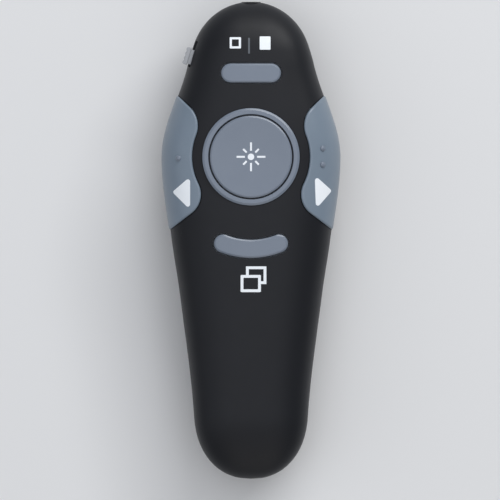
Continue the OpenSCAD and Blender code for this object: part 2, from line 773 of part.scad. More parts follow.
// Power knob: a nub through the slot in the case's side, with a stem in the slide switch
module power_knob() {
    len = power_knob[0];
    h = power_knob[1];
    color(pale_c) translate([-side_x(power_y, power_z), power_y, power_z]) rotate([0, 0, power_lean]) {
        translate([-power_out, 0, 0]) {
            translate([0, 0, -h / 2]) linear_extrude(h) {
                translate([0.5, -len / 2]) square([wall + power_out + 0.3, len]);
                translate([0, -len / 2 + 0.5]) square([1, len - 1]);
                for (s = [-1, 1]) translate([0.5, s * (len / 2 - 0.5)]) circle(r = 0.5);
            }
        }
        block([wall + 0.7, wall + 2.6], [-0.7, 0.7], [-0.4, 0.4]);
    }
}

// Slide switch: a steel can on the board, open towards the knob
module power_switch_can() {
    translate([-side_x(power_y, power_z), power_y, 0]) rotate([0, 0, power_lean])
        color(steel_c) difference() {
            block([wall + 1.2, wall + 3.6], [-1.8, power_travel + 1.8], [board_top + 0.02, power_z + 1]);
            block([wall + 1, wall + 3.1], [-1, power_travel + 1], [power_z - 0.7, power_z + 0.7]);
        }
}

// ================= laser =================

// Ferrule in the nose, round the laser's opening
module laser_ferrule() {
    bore_r = ferrule_r - ferrule_wall;
    lip_r = bore_r - ferrule_lip;
    color(steel_c) translate([0, 0, split_z]) rotate([-90, 0, 0]) rotate_extrude() polygon([
        [bore_r, ferrule_y + 0.4],
        [ferrule_r, ferrule_y + 0.4],
        [ferrule_r, nose_y - 0.35],
        [ferrule_r - 0.3, nose_y - 0.05],
        [lip_r + 0.3, nose_y - 0.05],
        [lip_r, nose_y - 0.4],
        [lip_r, nose_y - 0.9],
        [bore_r, nose_y - 0.9]
    ]);
}

// Window of the laser: a clear disc behind the ferrule's lip
module laser_window() {
    color("#c8d4dc") laser_rod(ferrule_r - ferrule_wall - 0.03, nose_y - 1.7, nose_y - 0.93);
}

// Barrel of the laser, with its small opening at the front
module laser_barrel() {
    color("#b08d4a") difference() {
        laser_rod(barrel_r, barrel_back, ferrule_y);
        laser_rod(2.5, barrel_back - 1, ferrule_y - 1);
        laser_rod(1.2, ferrule_y - 2, ferrule_y + 1);
    }
}

// Laser diode: a can with a rim and three legs that lead under the board
module laser_diode() {
    color(steel_c) {
        laser_rod(2.45, barrel_back + 0.3, barrel_back + 1.3);
        laser_rod(1.9, barrel_back + 1.2, barrel_back + 3.6);
        for (x = [-1.2, 0, 1.2]) laser_rod(0.22, barrel_back - 1.8, barrel_back + 0.4, x, split_z - 0.1);
    }
}

// ================= circuit board =================

// Circuit board: follows the case, from the window button to the laser
module circuit_board() {
    color(board_c) difference() {
        translate([0, 0, board_z]) linear_extrude(board_t)
            outline(split_z, wall + 1.3, board_rear_y, board_front_y);
        for (p = board_post_at) post(p, board_screw_r + 0.15, board_z - 1, board_top + 1);
    }
}

// Five push switches under the buttons and keys, each with a well for its plunger
module tact_switches() {
    color("#2b2b2e") for (p = switch_at) difference() {
        union() {
            block([p[0] - switch_side / 2, p[0] + switch_side / 2],
                  [p[1] - switch_side / 2, p[1] + switch_side / 2],
                  [board_top + 0.02, board_top + switch_h - 0.3]);
            post(p, 2.6, board_top + 1, board_top + switch_h);
        }
        post(p, plunger_r + 0.1, board_top + switch_h - 1.7, board_top + switch_h + 1);
    }
}

module plunger(i) {
    color("#d8d4c4") post(switch_at[i], plunger_r, board_top + switch_h - 0.9, plunger_top);
}
// Plungers of the switches, in the order of the buttons above them
module laser_plunger() { plunger(0); }
module blank_plunger() { plunger(1); }
module window_plunger() { plunger(2); }
module back_plunger() { plunger(3); }
module forward_plunger() { plunger(4); }

// Controller chip, between the laser button and the window button
module controller_chip() {
    color("#202022") {
        block([-chip_half, chip_half], [chip_y - chip_half, chip_y + chip_half],
              [board_top + 0.12, board_top + chip_h]);
        for (s = [-1, 1]) for (i = [0:5]) translate([s * (chip_half + 0.4), chip_y + (i - 2.5) * lead_pitch, 0])
            block([-0.5, 0.5], [-0.15, 0.15], [board_top + 0.02, board_top + 0.3]);
    }
}

// Radio chip, beside the laser button's switch
module radio_chip() {
    color("#202022") block([chip_x - 2, chip_x + 2], [laser_y + 1, laser_y + 5],
                           [board_top + 0.02, board_top + chip_h]);
}

// Crystal: the radio's clock, in a steel can
module crystal() {
    color(steel_c) {
        block([chip_x - 1.6, chip_x + 1.6], [laser_y - 3, laser_y - 0.5],
              [board_top + 0.02, board_top + 0.4]);
        block([chip_x - 1.4, chip_x + 1.4], [laser_y - 2.8, laser_y - 0.7],
              [board_top + 0.3, board_top + 0.8]);
    }
}

// Capacitors: small blocks on the board, on either side of the laser button's switch
module capacitors() {
    color("#b39a78") for (i = [-1:1], j = [-1:1]) translate([-chip_x + 2 * i, laser_y + 4 * j, 0])
        block([-0.4, 0.4], [-0.8, 0.8], [board_top + 0.02, board_top + 0.7]);
}

// ================= power =================

// One cell of size AAA, its button end towards +Y, its flat end at y
module cell(x, y) {
    body = cell_len - cell_nub;
    translate([x, y, cell_z]) rotate([-90, 0, 0]) rotate_extrude() polygon([
        [0, 0.15],
        [3.4, 0.15],
        [3.6, 0],
        [cell_r - 0.3, 0],
        [cell_r, 0.3],
        [cell_r, body - 0.3],
        [cell_r - 0.3, body],
        [1.9, body],
        [1.9, cell_len - 0.2],
        [1.7, cell_len],
        [0, cell_len]
    ]);
}
// Left-hand cell: its button end towards the nose
module aaa_cell_left() {
    color("#3f6f8f") cell(-cell_x, bay_front - contact_t - cell_len);
}
// Right-hand cell: its button end towards the tail
module aaa_cell_right() {
    color("#3f6f8f") translate([0, 2 * bay_rear + 2 * contact_t + cell_len, 0])
        translate([0, -bay_rear - contact_t, 0])
        mirror([0, 1, 0]) cell(cell_x, 0);
}

// Springs on the flat ends of the cells
module cell_springs() {
    y0 = bay_rear + contact_t + 0.25;
    y1 = bay_front - contact_t - 0.25;
    color(steel_c) {
        coil(-cell_x, y0, y0 + spring_len - 0.55, cell_z, 3.4, 2.4, 0.25, 3);
        coil(cell_x, y1 - spring_len + 0.55, y1, cell_z, 2.4, 3.4, 0.25, 3);
    }
}

module contact_plate(x, y) {
    block([x - contact_half, x + contact_half], [y, y + contact_t - 0.04], [cell_z - 2.6, bay_top - 0.5]);
}
// A front contact, with a tab through the bay's ceiling to the underside of the board
module front_contact(x) {
    y = bay_front - contact_t + 0.02;
    contact_plate(x, y);
    block([x - tab_half, x + tab_half], [y, y + contact_t - 0.04], [bay_top - 0.6, board_z - 0.02]);
}
// Bridge: joins the two cells at the rear
module bridge_contact() {
    color(steel_c) {
        contact_plate(-cell_x, bay_rear + 0.02);
        contact_plate(cell_x, bay_rear + 0.02);
        block([-4, 4], [bay_rear + 0.02, bay_rear + contact_t - 0.02], [cell_z + 2, bay_top - 0.5]);
    }
}
// Contact of the left-hand cell's button end
module positive_contact() {
    color(steel_c) front_contact(-cell_x);
}
// Contact of the right-hand cell's flat end
module negative_contact() {
    color(steel_c) front_contact(cell_x);
}

// ================= fixings =================

// Four screws that hold the case together, reached from below
module case_screws() {
    color(steel_c) {
        for (i = [0, 1])
            screw(case_screw_at[i], front_seat_z - 0.02, split_z + screw_bite, screw_head_r,
                  screw_head_h, screw_r);
        for (i = [2, 3])
            screw(case_screw_at[i], shelf_z - 0.02, split_z + screw_bite, screw_head_r,
                  screw_head_h, screw_r);
    }
}

// Four screws that hold the circuit board to the top shell
module board_screws() {
    color(steel_c) for (p = board_post_at)
        screw(p, board_z - 0.02, board_top + board_screw_bite, board_screw_head_r, board_screw_head_h,
              board_screw_r);
}

// Magnet that holds the receiver in its dock
module dock_magnet() {
    color("#8d9094") post([0, magnet_y], magnet_r, dock_top + dock_wall + 0.02,
                          dock_top + dock_wall + magnet_t);
}

// ================= receiver =================

cap_y = dock_rear + 0.35;
plug_y = cap_y + dongle_cap_len;
plug_z = dongle_z + dongle_h / 2;

// A round-cornered bar along +Y, centred on x = 0 and on the plug's height
module bar(wid, h, r, y0, y1) {
    translate([0, y1, plug_z]) rotate([90, 0, 0]) linear_extrude(y1 - y0) {
        square([wid - 2 * r, h], center = true);
        square([wid, h - 2 * r], center = true);
        for (sx = [-1, 1], sz = [-1, 1])
            translate([sx * (wid / 2 - r), sz * (h / 2 - r)]) circle(r = r);
    }
}

// Cap of the receiver: a hollow plastic shell with a grooved grip
module receiver_cap() {
    color(black_c) difference() {
        bar(dongle_w, dongle_h, 1.2, cap_y, plug_y);
        bar(plug[0] + 0.1, plug[2] + 0.1, 0.4, cap_y + 1.2, plug_y + 1);
        for (i = [0:2]) block([-4.5, 4.5], [cap_y + 1.2 + 1.6 * i, cap_y + 1.9 + 1.6 * i],
                              [dongle_z - 1, dongle_z + 0.3]);
    }
}

// Metal shell of the receiver's plug, with two latch windows in each broad side
module receiver_plug() {
    color(steel_c) difference() {
        bar(plug[0], plug[2], 0.35, plug_y - plug_root, plug_y + plug[1]);
        bar(plug[0] - 2 * plug_shell_t, plug[2] - 2 * plug_shell_t, 0.1, plug_y - 5, plug_y + plug[1] + 1);
        for (x = [-4.2, 2]) block([x, x + 2.2], [plug_y + 4.6, plug_y + 6.6],
                                  [plug_z - 4, plug_z + 4]);
    }
}

// Plastic tongue inside the plug
module receiver_tongue() {
    half = plug[0] / 2 - plug_shell_t - 0.1;
    color("#e8e8e4") block([-half, half], [plug_y - plug_root + 0.2, plug_y + plug[1] - 0.5],
                           [plug_z - plug[2] / 2 + plug_shell_t + 0.05, plug_z - 0.1]);
}

// Four contacts on the tongue
module receiver_contacts() {
    color("#c9a545") for (x = [-3.5, -1, 1, 3.5]) block([x - 0.5, x + 0.5],
        [plug_y + (abs(x) > 2 ? 3 : 4), plug_y + plug[1] - 1], [plug_z - 0.08, plug_z + 0.1]);
}

// ================= parts =================

top_shell();
bottom_shell();
battery_door();
laser_ring();
laser_button();
blank_button();
window_button();
back_key();
forward_key();
power_knob();
power_switch_can();
laser_ferrule();
laser_window();
laser_barrel();
laser_diode();
circuit_board();
tact_switches();
laser_plunger();
blank_plunger();
window_plunger();
back_plunger();
forward_plunger();
controller_chip();
radio_chip();
crystal();
capacitors();
aaa_cell_left();
aaa_cell_right();
cell_springs();
bridge_contact();
positive_contact();
negative_contact();
case_screws();
board_screws();
dock_magnet();
receiver_cap();
receiver_plug();
receiver_tongue();
receiver_contacts();
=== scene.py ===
"""A wireless presentation clicker: its looks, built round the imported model.

Shapes are worked out in millimetres, in the model's own frame: +Z is the button side, +Y the laser
nose, and the case rests on z = 0. add_mesh() turns them into the scene's metres.
"""

import math

import bpy
import numpy as np
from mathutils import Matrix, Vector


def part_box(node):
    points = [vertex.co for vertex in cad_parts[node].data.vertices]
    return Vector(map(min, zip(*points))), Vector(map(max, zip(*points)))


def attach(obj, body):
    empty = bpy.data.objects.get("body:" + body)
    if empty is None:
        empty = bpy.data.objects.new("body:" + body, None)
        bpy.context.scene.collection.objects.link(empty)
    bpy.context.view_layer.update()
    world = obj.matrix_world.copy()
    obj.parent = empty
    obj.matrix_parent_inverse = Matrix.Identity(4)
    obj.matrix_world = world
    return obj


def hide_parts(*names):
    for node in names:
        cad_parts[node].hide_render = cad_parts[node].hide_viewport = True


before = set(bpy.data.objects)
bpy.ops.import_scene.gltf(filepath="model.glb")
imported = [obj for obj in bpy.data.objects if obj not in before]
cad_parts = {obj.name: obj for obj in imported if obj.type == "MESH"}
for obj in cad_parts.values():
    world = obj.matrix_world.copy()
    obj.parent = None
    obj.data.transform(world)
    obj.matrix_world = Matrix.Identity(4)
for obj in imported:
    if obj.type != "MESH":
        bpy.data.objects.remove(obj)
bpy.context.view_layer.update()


MM = 0.001

# ================= measures shared with the model, in millimetres =================

NOSE_Y, TAIL_Y = 53.0, -53.0
SPLIT_Z = 13.0  # the parting plane of the two shells
SQUARENESS = 2.8  # power of the squared ellipse across the case
WALL = 1.6
LASER_Y, BLANK_Y, WINDOW_Y = 18.5, 37.1, -1.9
COLLAR_Z, RING_SEAT, RING_TOP = 21.0, 22.6, 24.3
KEY_PROUD = 0.4  # how far the side keys stand above the case's skin

# half the width, the rise of the top and the depth of the belly at places along the case
WIDTH_AT = np.array(
    [[-53, 12.2], [-42, 12.5], [-12, 15.8], [0, 17.6], [18.5, 19.6], [44, 13.4], [53, 13.4]]
)
CROWN_AT = np.array([[-53, 7], [-40, 8.2], [-15, 9.9], [18.5, 11], [38, 9.6], [53, 8]])
BELLY_AT = np.array([[-53, 11], [-40, 13], [-25, 14], [28, 14], [38, 13], [53, 10.5]])
# how far from the tail and from the nose each of them starts to close, and the power of its arc
PLAN_CAP, CROWN_CAP, BELLY_CAP = (14, 14), (15, 11), (14, 14)
TAIL_POWER, NOSE_POWER = 2.2, 2.0


# ================= the case's skin =================


def fair_curve(stations, y):
    """Cubic through the stations, whose slope at each is the harmonic mean of its neighbours', or level."""
    places, sizes = stations[:, 0], stations[:, 1]
    steps = np.diff(places)
    secants = np.diff(sizes) / steps
    before, after = secants[:-1], secants[1:]
    total = np.where(before + after == 0, 1, before + after)
    mean = np.where(before * after > 0, 2 * before * after / total, 0)
    slopes = np.concatenate([[0], mean, [0]])
    i = np.clip(np.searchsorted(places, y, side="right") - 1, 0, len(steps) - 1)
    h = steps[i]
    u = np.clip((y - places[i]) / h, 0, 1)
    return (
        sizes[i] * (1 + 2 * u) * (1 - u) ** 2
        + h * slopes[i] * u * (1 - u) ** 2
        + sizes[i + 1] * u**2 * (3 - 2 * u)
        + h * slopes[i + 1] * u**2 * (u - 1)
    )


def closing(y, caps, t):
    """How far a size has closed at y, inset by t: 1 along the body, falling to 0 at each end on the arc
    u^p + v^p = 1."""
    tail = y < 0
    over = np.where(tail, TAIL_Y + caps[0] - y, y - (NOSE_Y - caps[1]))
    reach = np.where(tail, caps[0], caps[1]) - t
    power = np.where(tail, TAIL_POWER, NOSE_POWER)
    u = np.clip(over / reach, 0, 1)
    return (1 - u**power) ** (1 / power)


def half_width(y, t=0.0):
    """Half the case's width at y, inset by t."""
    return (fair_curve(WIDTH_AT, y) - t) * closing(y, PLAN_CAP, t)


def crown(y, t=0.0):
    """Rise of the top above the parting plane at y, inset by t."""
    return (fair_curve(CROWN_AT, y) - t) * closing(y, CROWN_CAP, t)


def belly(y, t=0.0):
    """Depth of the belly below the parting plane at y, inset by t."""
    return (fair_curve(BELLY_AT, y) - t) * closing(y, BELLY_CAP, t)


def top_height(x, y, t=0.0):
    """Height of the top skin over a place in plan: a squared ellipse across the case."""
    across = np.clip(1 - np.abs(x / half_width(y, t)) ** SQUARENESS, 0, 1)
    return SPLIT_Z + crown(y, t) * across ** (1 / SQUARENESS)


def skin_field(points, t=0.0):
    """Value and gradient of |x / half width|^n + |height / rise|^n - 1, which is 0 on the skin inset by t."""
    step, least = 1e-3, 1e-4
    x, y, z = points.T
    y = np.clip(y, TAIL_Y + t + step, NOSE_Y - t - step)
    rise = z - SPLIT_Z

    def sizes(at):
        """Half width, and rise or depth, at places along the case."""
        return half_width(at, t), np.where(rise >= 0, crown(at, t), belly(at, t))

    wide, deep = (np.maximum(s, least) for s in sizes(y))
    wide_up, deep_up = sizes(y + step)
    wide_down, deep_down = sizes(y - step)
    n = SQUARENESS
    across, up = np.abs(x) / wide, np.abs(rise) / deep
    along = -n * (
        across**n * (wide_up - wide_down) / wide + up**n * (deep_up - deep_down) / deep
    ) / (2 * step)
    gradient = np.stack(
        [n * np.sign(x) * across ** (n - 1) / wide, along, n * np.sign(rise) * up ** (n - 1) / deep], 1
    )
    return across**n + up**n - 1, gradient


def onto_skin(points, t=0.0):
    """Points moved along the skin's gradient until they lie on it, in a few Newton steps."""
    moved = points.copy()
    for _ in range(4):
        value, gradient = skin_field(moved, t)
        moved -= gradient * (value / np.maximum((gradient**2).sum(1), 1e-9))[:, None]
    return moved


def unit(vectors):
    """Vectors brought to length 1."""
    return vectors / np.maximum(np.linalg.norm(vectors, axis=-1, keepdims=True), 1e-12)


# ================= meshes =================


def add_mesh(name, points, faces, material, normals=None, sharp=32):
    """A piece from points in millimetres and faces, shaded smooth up to the angle sharp in degrees."""
    mesh = bpy.data.meshes.new(name)
    points = np.asarray(points, float)
    fans = np.array([(f[0], f[i], f[i + 1]) for f in faces for i in range(1, len(f) - 1)])
    a, b, c = (points[fans[:, i]] for i in range(3))
    if (np.cross(a, b) * c).sum() < 0:  # a closed piece that is inside out has a volume below zero
        faces = [list(reversed(f)) for f in faces]
    mesh.from_pydata((points * MM).tolist(), [], [list(map(int, f)) for f in faces])
    mesh.polygons.foreach_set("use_smooth", np.ones(len(mesh.polygons), bool))
    mesh.update()
    mesh.set_sharp_from_angle(angle=math.radians(sharp))
    if normals is not None:
        mesh.normals_split_custom_set(normals(mesh))
    mesh.materials.append(material)
    piece = bpy.data.objects.new(name, mesh)
    bpy.context.scene.collection.objects.link(piece)
    return piece


def grid_faces(rows, columns, closed_rows=False, closed_columns=False):
    """Quads of a grid of rows by columns points, wound anticlockwise when columns turn to the left of
    rows."""
    i = np.arange(rows if closed_rows else rows - 1)[:, None]
    j = np.arange(columns if closed_columns else columns - 1)[None, :]
    k, m = (i + 1) % rows, (j + 1) % columns
    corners = (i * columns + j, i * columns + m, k * columns + m, k * columns + j)
    return np.stack(np.broadcast_arrays(*corners), -1).reshape(-1, 4)


def eased_profile(corners, radii, steps=6):
    """A profile of straight runs whose corners are rounded by an arc of each one's radius."""
    corners = np.asarray(corners, float)
    points = []
    for corner, before, after, r in zip(
        corners, np.roll(corners, 1, 0), np.roll(corners, -1, 0), radii
    ):
        if r == 0:
            points.append(corner[None])
            continue
        a, b = unit(before - corner), unit(after - corner)
        half = math.acos(np.clip(a @ b, -1, 1)) / 2
        centre = corner + unit(a + b) * r / math.sin(half)
        start, end = (corner + way * r / math.tan(half) - centre for way in (a, b))
        square_on = np.array([-start[1], start[0]])
        u = np.linspace(0, math.atan2(square_on @ end, start @ end), steps + 1)[:, None]
        points.append(centre + (start * np.cos(u) + square_on * np.sin(u)))
    return np.concatenate(points)


def turned(name, profile, centre, material, steps=128, axis="z"):
    """A profile of (radius, height) turned about an axis through the centre, closed into a ring or a disc."""
    angle = np.arange(steps) * 2 * np.pi / steps
    radius, height = profile[:, 0][None], profile[:, 1][None]
    c, s = np.cos(angle)[:, None], np.sin(angle)[:, None]
    if axis == "z":
        places = np.stack([radius * c, radius * s, height + 0 * c], -1)
    else:
        places = np.stack([radius * s, height + 0 * c, radius * c], -1)
    points = (places + np.array(centre)).reshape(-1, 3)
    faces = grid_faces(steps, len(profile), closed_rows=True, closed_columns=True)
    points, faces = merged(points, faces)
    return add_mesh(name, points, faces, material)


def joined(points, tolerance):
    """The first of each group of points that lie together, and the number of every point's group."""
    cells = np.round(points / tolerance).astype(np.int64)
    _, first, group = np.unique(cells, axis=0, return_index=True, return_inverse=True)
    return first, group.reshape(-1)


def merged(points, faces, tolerance=1e-4):
    """Points that lie together are made one, and faces that lose a corner keep the corners that remain."""
    first, group = joined(points, tolerance)
    kept = []
    for face in group[np.asarray(faces)].tolist():
        corners = [v for i, v in enumerate(face) if v != face[i - 1]]
        if len(corners) > 2 and len(set(corners)) == len(corners):
            kept.append(corners)
    return points[first], kept


def lofted(name, rings, material, closed=False):
    """Rings of points joined in order. A ring that has shrunk to a point or a line closes the piece."""
    rings = np.asarray(rings)
    faces = grid_faces(rings.shape[0], rings.shape[1], closed_rows=closed, closed_columns=True)
    points, faces = merged(rings.reshape(-1, 3), faces)
    return add_mesh(name, points, faces, material)


def resampled(outline, count=96):
    """The same closed outline with its points spaced evenly along it."""
    closed = np.concatenate([outline, outline[:1]])
    length = np.concatenate([[0], np.cumsum(np.linalg.norm(np.diff(closed, axis=0), axis=1))])
    at = np.arange(count) * length[-1] / count
    return np.stack([np.interp(at, length, closed[:, i]) for i in (0, 1)], 1)


def rounded(corners, radius):
    """A polygon with every corner rounded by the same radius, as evenly spaced points."""
    return resampled(eased_profile(corners, [radius] * len(corners), steps=5))


def box_corners(centre, wide, tall):
    """The corners of an upright oblong, anticlockwise."""
    x, y = centre
    return [
        (x - wide / 2, y - tall / 2), (x + wide / 2, y - tall / 2),
        (x + wide / 2, y + tall / 2), (x - wide / 2, y + tall / 2),
    ]


# ================= smooth copies of the model's shells and keys =================


FAR = 1e3  # farther than any place on the case is from another


def loose_to_solid(node, tolerance=2e-4):
    """Points in millimetres and triangles of a node of the model, with its loose corners joined."""
    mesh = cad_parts[node].data
    mesh.calc_loop_triangles()
    points = np.empty(len(mesh.vertices) * 3)
    mesh.vertices.foreach_get("co", points)
    triangles = np.empty(len(mesh.loop_triangles) * 3, np.int64)
    mesh.loop_triangles.foreach_get("vertices", triangles)
    points = points.reshape(-1, 3) / MM
    first, group = joined(points, tolerance)
    triangles = group[triangles.reshape(-1, 3)]
    whole = (np.diff(np.sort(triangles, 1), axis=1) > 0).all(1)
    return points[first], triangles[whole]


def face_normals(points, triangles):
    """Each triangle's normal: the cross product of two sides, at length 1."""
    a, b, c = (points[triangles[:, i]] for i in range(3))
    return unit(np.cross(b - a, c - a))


def split_triangles(points, triangles, chosen, marks):
    """Each chosen triangle is cut in four at the middles of its sides, and its neighbours to match."""
    count = len(points)
    sides = np.sort(triangles[:, [[0, 1], [1, 2], [2, 0]]], axis=2)
    keys = sides[..., 0] * count + sides[..., 1]
    cut = np.unique(keys[chosen])
    has = np.isin(keys, cut)
    middle = count + np.searchsorted(cut, keys)
    points = np.concatenate([points, (points[cut // count] + points[cut % count]) / 2])
    number = has.sum(1)
    # turned so that an only cut side comes first, or an only whole side last
    shift = np.where(number == 1, has.argmax(1), np.where(number == 2, (has.argmin(1) + 1) % 3, 0))
    order = (shift[:, None] + np.arange(3)) % 3
    a, b, c = np.take_along_axis(triangles, order, 1).T
    ab, bc, ca = np.take_along_axis(middle, order, 1).T
    pieces = {
        0: [(a, b, c)],
        1: [(a, ab, c), (ab, b, c)],
        2: [(ab, b, bc), (a, ab, bc), (a, bc, c)],
        3: [(a, ab, ca), (ab, b, bc), (ca, bc, c), (ab, bc, ca)],
    }
    new, new_marks = [], []
    for n, parts in pieces.items():
        rows = number == n
        for part in parts:
            new.append(np.stack(part, 1)[rows])
            new_marks.append(marks[rows])
    return points, np.concatenate(new), np.concatenate(new_marks)


def rim_of(points, triangles, on_skin, normals, least=50):
    """Sides where the skin meets a face that turns away by more than least degrees, with the direction
    in the skin that points out over the edge."""
    count = len(points)
    ends = triangles[:, [[0, 1], [1, 2], [2, 0]]].reshape(-1, 2)
    owner = np.repeat(np.arange(len(triangles)), 3)
    third = triangles[:, [2, 0, 1]].reshape(-1)
    low, high = ends.min(1), ends.max(1)
    key = low * count + high
    order = np.argsort(key, kind="stable")
    same = np.flatnonzero(key[order][1:] == key[order][:-1])
    one, two = order[same], order[same + 1]
    skin_one = on_skin[owner[one]] & ~on_skin[owner[two]]
    skin_two = on_skin[owner[two]] & ~on_skin[owner[one]]
    turned_away = (normals[owner[one]] * normals[owner[two]]).sum(1) < math.cos(math.radians(least))
    side = np.concatenate([one[skin_one & turned_away], two[skin_two & turned_away]])
    a, b, c = points[ends[side, 0]], points[ends[side, 1]], points[third[side]]
    run = unit(b - a)
    out = (a - c) - ((a - c) * run).sum(1, keepdims=True) * run
    return ends[side], unit(out)


def rim_near(points, triangles, on_skin, seams):
    """The rim, or where seams are given, only its sides near one of those planes: (axis, place, reach)."""
    rim, out = rim_of(points, triangles, on_skin, face_normals(points, triangles))
    if seams:
        ends = points[rim]
        near = [(np.abs(ends[..., axis] - place) < reach).all(1) for axis, place, reach in seams]
        rows = np.any(near, axis=0)
        rim, out = rim[rows], out[rows]
    return rim, out


def beside_rim(points, triangles, rim):
    """Whether each triangle's middle is in a 1 mm cell that holds a piece of the rim, or touches one that
    does."""
    number = [1, 1e3, 1e6]
    around = np.stack(np.meshgrid(*[[-1, 0, 1]] * 3), -1).reshape(-1, 3)
    walk = np.linspace(0, 1, 6)[:, None, None]
    samples = (points[rim[:, 0]] * (1 - walk) + points[rim[:, 1]] * walk).reshape(-1, 3)
    cells = np.unique((np.floor(samples)[:, None] + around).reshape(-1, 3) @ number)
    return np.isin(np.floor(points[triangles].mean(1)) @ number, cells)


def nearest_on_rim(points, places, rim, out_at, reach=2.5, slice_size=500, tried=16):
    """For each place: distance to the rim and the outward direction at the nearest point of it, found among
    as many sides as tried says, those whose middles are nearest. Places are taken in slices along the case,
    and beyond reach of their slice the rim isn't looked at."""
    fewest = 4  # sides near a slice, without which it is left at FAR
    a, b = points[rim[:, 0]], points[rim[:, 1]]
    middle = (a + b) / 2
    along = np.argsort(middle[:, 1])
    distance = np.full(len(places), FAR)
    outward = np.zeros((len(places), 3))
    order = np.argsort(places[:, 1])
    for start in range(0, len(order), slice_size):
        rows = order[start : start + slice_size]
        p = places[rows]
        first, last = np.searchsorted(middle[along, 1], (p[0, 1] - reach, p[-1, 1] + reach))
        if last - first < fewest:
            continue
        group = along[first:last]
        m = middle[group]
        gaps = (m**2).sum(1)[None] - 2 * p @ m.T
        count = min(tried, len(group))
        best = group[np.argpartition(gaps, count - 1, axis=1)[:, :count]]
        pa, run = a[best], (b - a)[best]
        u = np.clip(((p[:, None] - pa) * run).sum(2) / np.maximum((run**2).sum(2), 1e-12), 0, 1)
        d = np.linalg.norm(pa + run * u[..., None] - p[:, None], axis=2)
        pick, row = d.argmin(1), np.arange(len(p))
        distance[rows] = d[row, pick]
        side, share = best[row, pick], u[row, pick][:, None]
        outward[rows] = (1 - share) * out_at[rim[side, 0]] + share * out_at[rim[side, 1]]
    return distance, outward


def skin_triangles(points, triangles, inset):
    """Whether each triangle is a facet of the outer skin: its corners and middle lie close to it, it faces
    the same way, and it isn't part of the flat foot."""
    corner_gap, middle_gap, same_way, foot = 0.25, 0.3, 0.8, 0.02

    def off_skin(places):
        """Distance to the skin: the field's value over the length of its gradient."""
        value, gradient = skin_field(places, inset)
        return np.abs(value) / np.maximum(np.linalg.norm(gradient, axis=1), 1e-9)

    centre = points[triangles].mean(1)
    _, gradient = skin_field(onto_skin(centre, inset), inset)
    return (
        (off_skin(points)[triangles].max(1) < corner_gap)
        & (off_skin(centre) < middle_gap)
        & ((unit(gradient) * face_normals(points, triangles)).sum(1) > same_way)
        & (centre[:, 2] > foot)
    )


def cut_finer(points, triangles, on_skin, ease, finest, even, seams, rounds=14, coarse_rounds=3):
    """The skin's triangles are cut until no side is over even millimetres, nor over finest near the rim that
    is to be rounded, or until the rounds are over. The coarse rounds leave the rim's share for later, unless
    nothing else is left to cut."""
    for level in range(rounds):
        rim, _ = rim_near(points, triangles, on_skin, seams)
        size = np.linalg.norm(points[triangles] - points[np.roll(triangles, 1, 1)], axis=2).max(1)
        close = on_skin & beside_rim(points, triangles, rim)
        wanted = on_skin & (size > even)
        if ease and close.any() and (level >= coarse_rounds or not wanted.any()):
            centre = points[triangles[close]].mean(1)
            gap = np.full(len(triangles), FAR)
            gap[close], _ = nearest_on_rim(points, centre, rim, np.zeros_like(points))
            wanted |= close & (gap < ease * 1.3 + size * 0.5) & (size > finest)
        if not wanted.any():
            break
        points, triangles, on_skin = split_triangles(points, triangles, wanted, on_skin)
    return points, triangles, on_skin


def smooth_copy(name, node, material, inset=0.0, ease=0.25, finest=0.3, even=1.5, seams=()):
    """A copy of a node whose outer facets are cut finer and laid on the true skin, with edges rounded by the
    radius ease: all of them, or those near the planes in seams, (axis, place, reach). A point at distance d
    from the edge leans out by l = 1 - d / ease and sinks by ease * (1 - sqrt(1 - l^2)). Sides are cut to
    even millimetres all over, and to finest along those edges."""
    points, triangles = loose_to_solid(node)
    on_skin = skin_triangles(points, triangles, inset)
    points, triangles, on_skin = cut_finer(points, triangles, on_skin, ease, finest, even, seams)
    skin_points = np.unique(triangles[on_skin])
    points[skin_points] = onto_skin(points[skin_points], inset)
    points[:, 2] = np.maximum(points[:, 2], 0)
    rim, out = rim_near(points, triangles, on_skin, seams)
    all_rim, _ = rim_near(points, triangles, on_skin, ())
    out_at = np.zeros_like(points)
    np.add.at(out_at, rim[:, 0], out)
    np.add.at(out_at, rim[:, 1], out)
    _, gradient = skin_field(points[skin_points], inset)
    straight = unit(gradient)
    distance, outward = nearest_on_rim(points, points[skin_points], rim, unit(out_at))
    outward = unit(outward - (outward * straight).sum(1, keepdims=True) * straight)
    lean = np.clip(1 - distance / ease, 0, 1)[:, None] if ease else np.zeros((len(distance), 1))
    upright = np.sqrt(1 - lean**2)
    points[skin_points] -= straight * ease * (1 - upright)
    skin_normal = np.zeros_like(points)
    skin_normal[skin_points] = unit(straight * upright + outward * lean)

    def corner_normals(mesh):
        """The skin's own normals on its triangles and the mesh's on the rest, with the whole rim sharp."""
        ends = np.empty(len(mesh.edges) * 2, np.int64)
        mesh.edges.foreach_get("vertices", ends)
        low_high = np.sort(ends.reshape(-1, 2), 1) @ [len(points), 1]
        sharp = np.empty(len(mesh.edges), bool)
        attribute = mesh.attributes.get("sharp_edge") or mesh.attributes.new("sharp_edge", "BOOLEAN", "EDGE")
        attribute.data.foreach_get("value", sharp)
        sharp |= np.isin(low_high, np.sort(all_rim, 1) @ [len(points), 1])
        attribute.data.foreach_set("value", sharp)
        mesh.update()
        found = np.empty(len(mesh.loops) * 3, np.float32)
        mesh.corner_normals.foreach_get("vector", found)
        found = found.reshape(-1, 3)
        rows = np.repeat(on_skin, 3)
        found[rows] = skin_normal[triangles.reshape(-1)[rows]]
        return found.tolist()

    piece = add_mesh(name, points, triangles, material, corner_normals)
    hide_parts(node)
    return piece


# ================= finishes =================


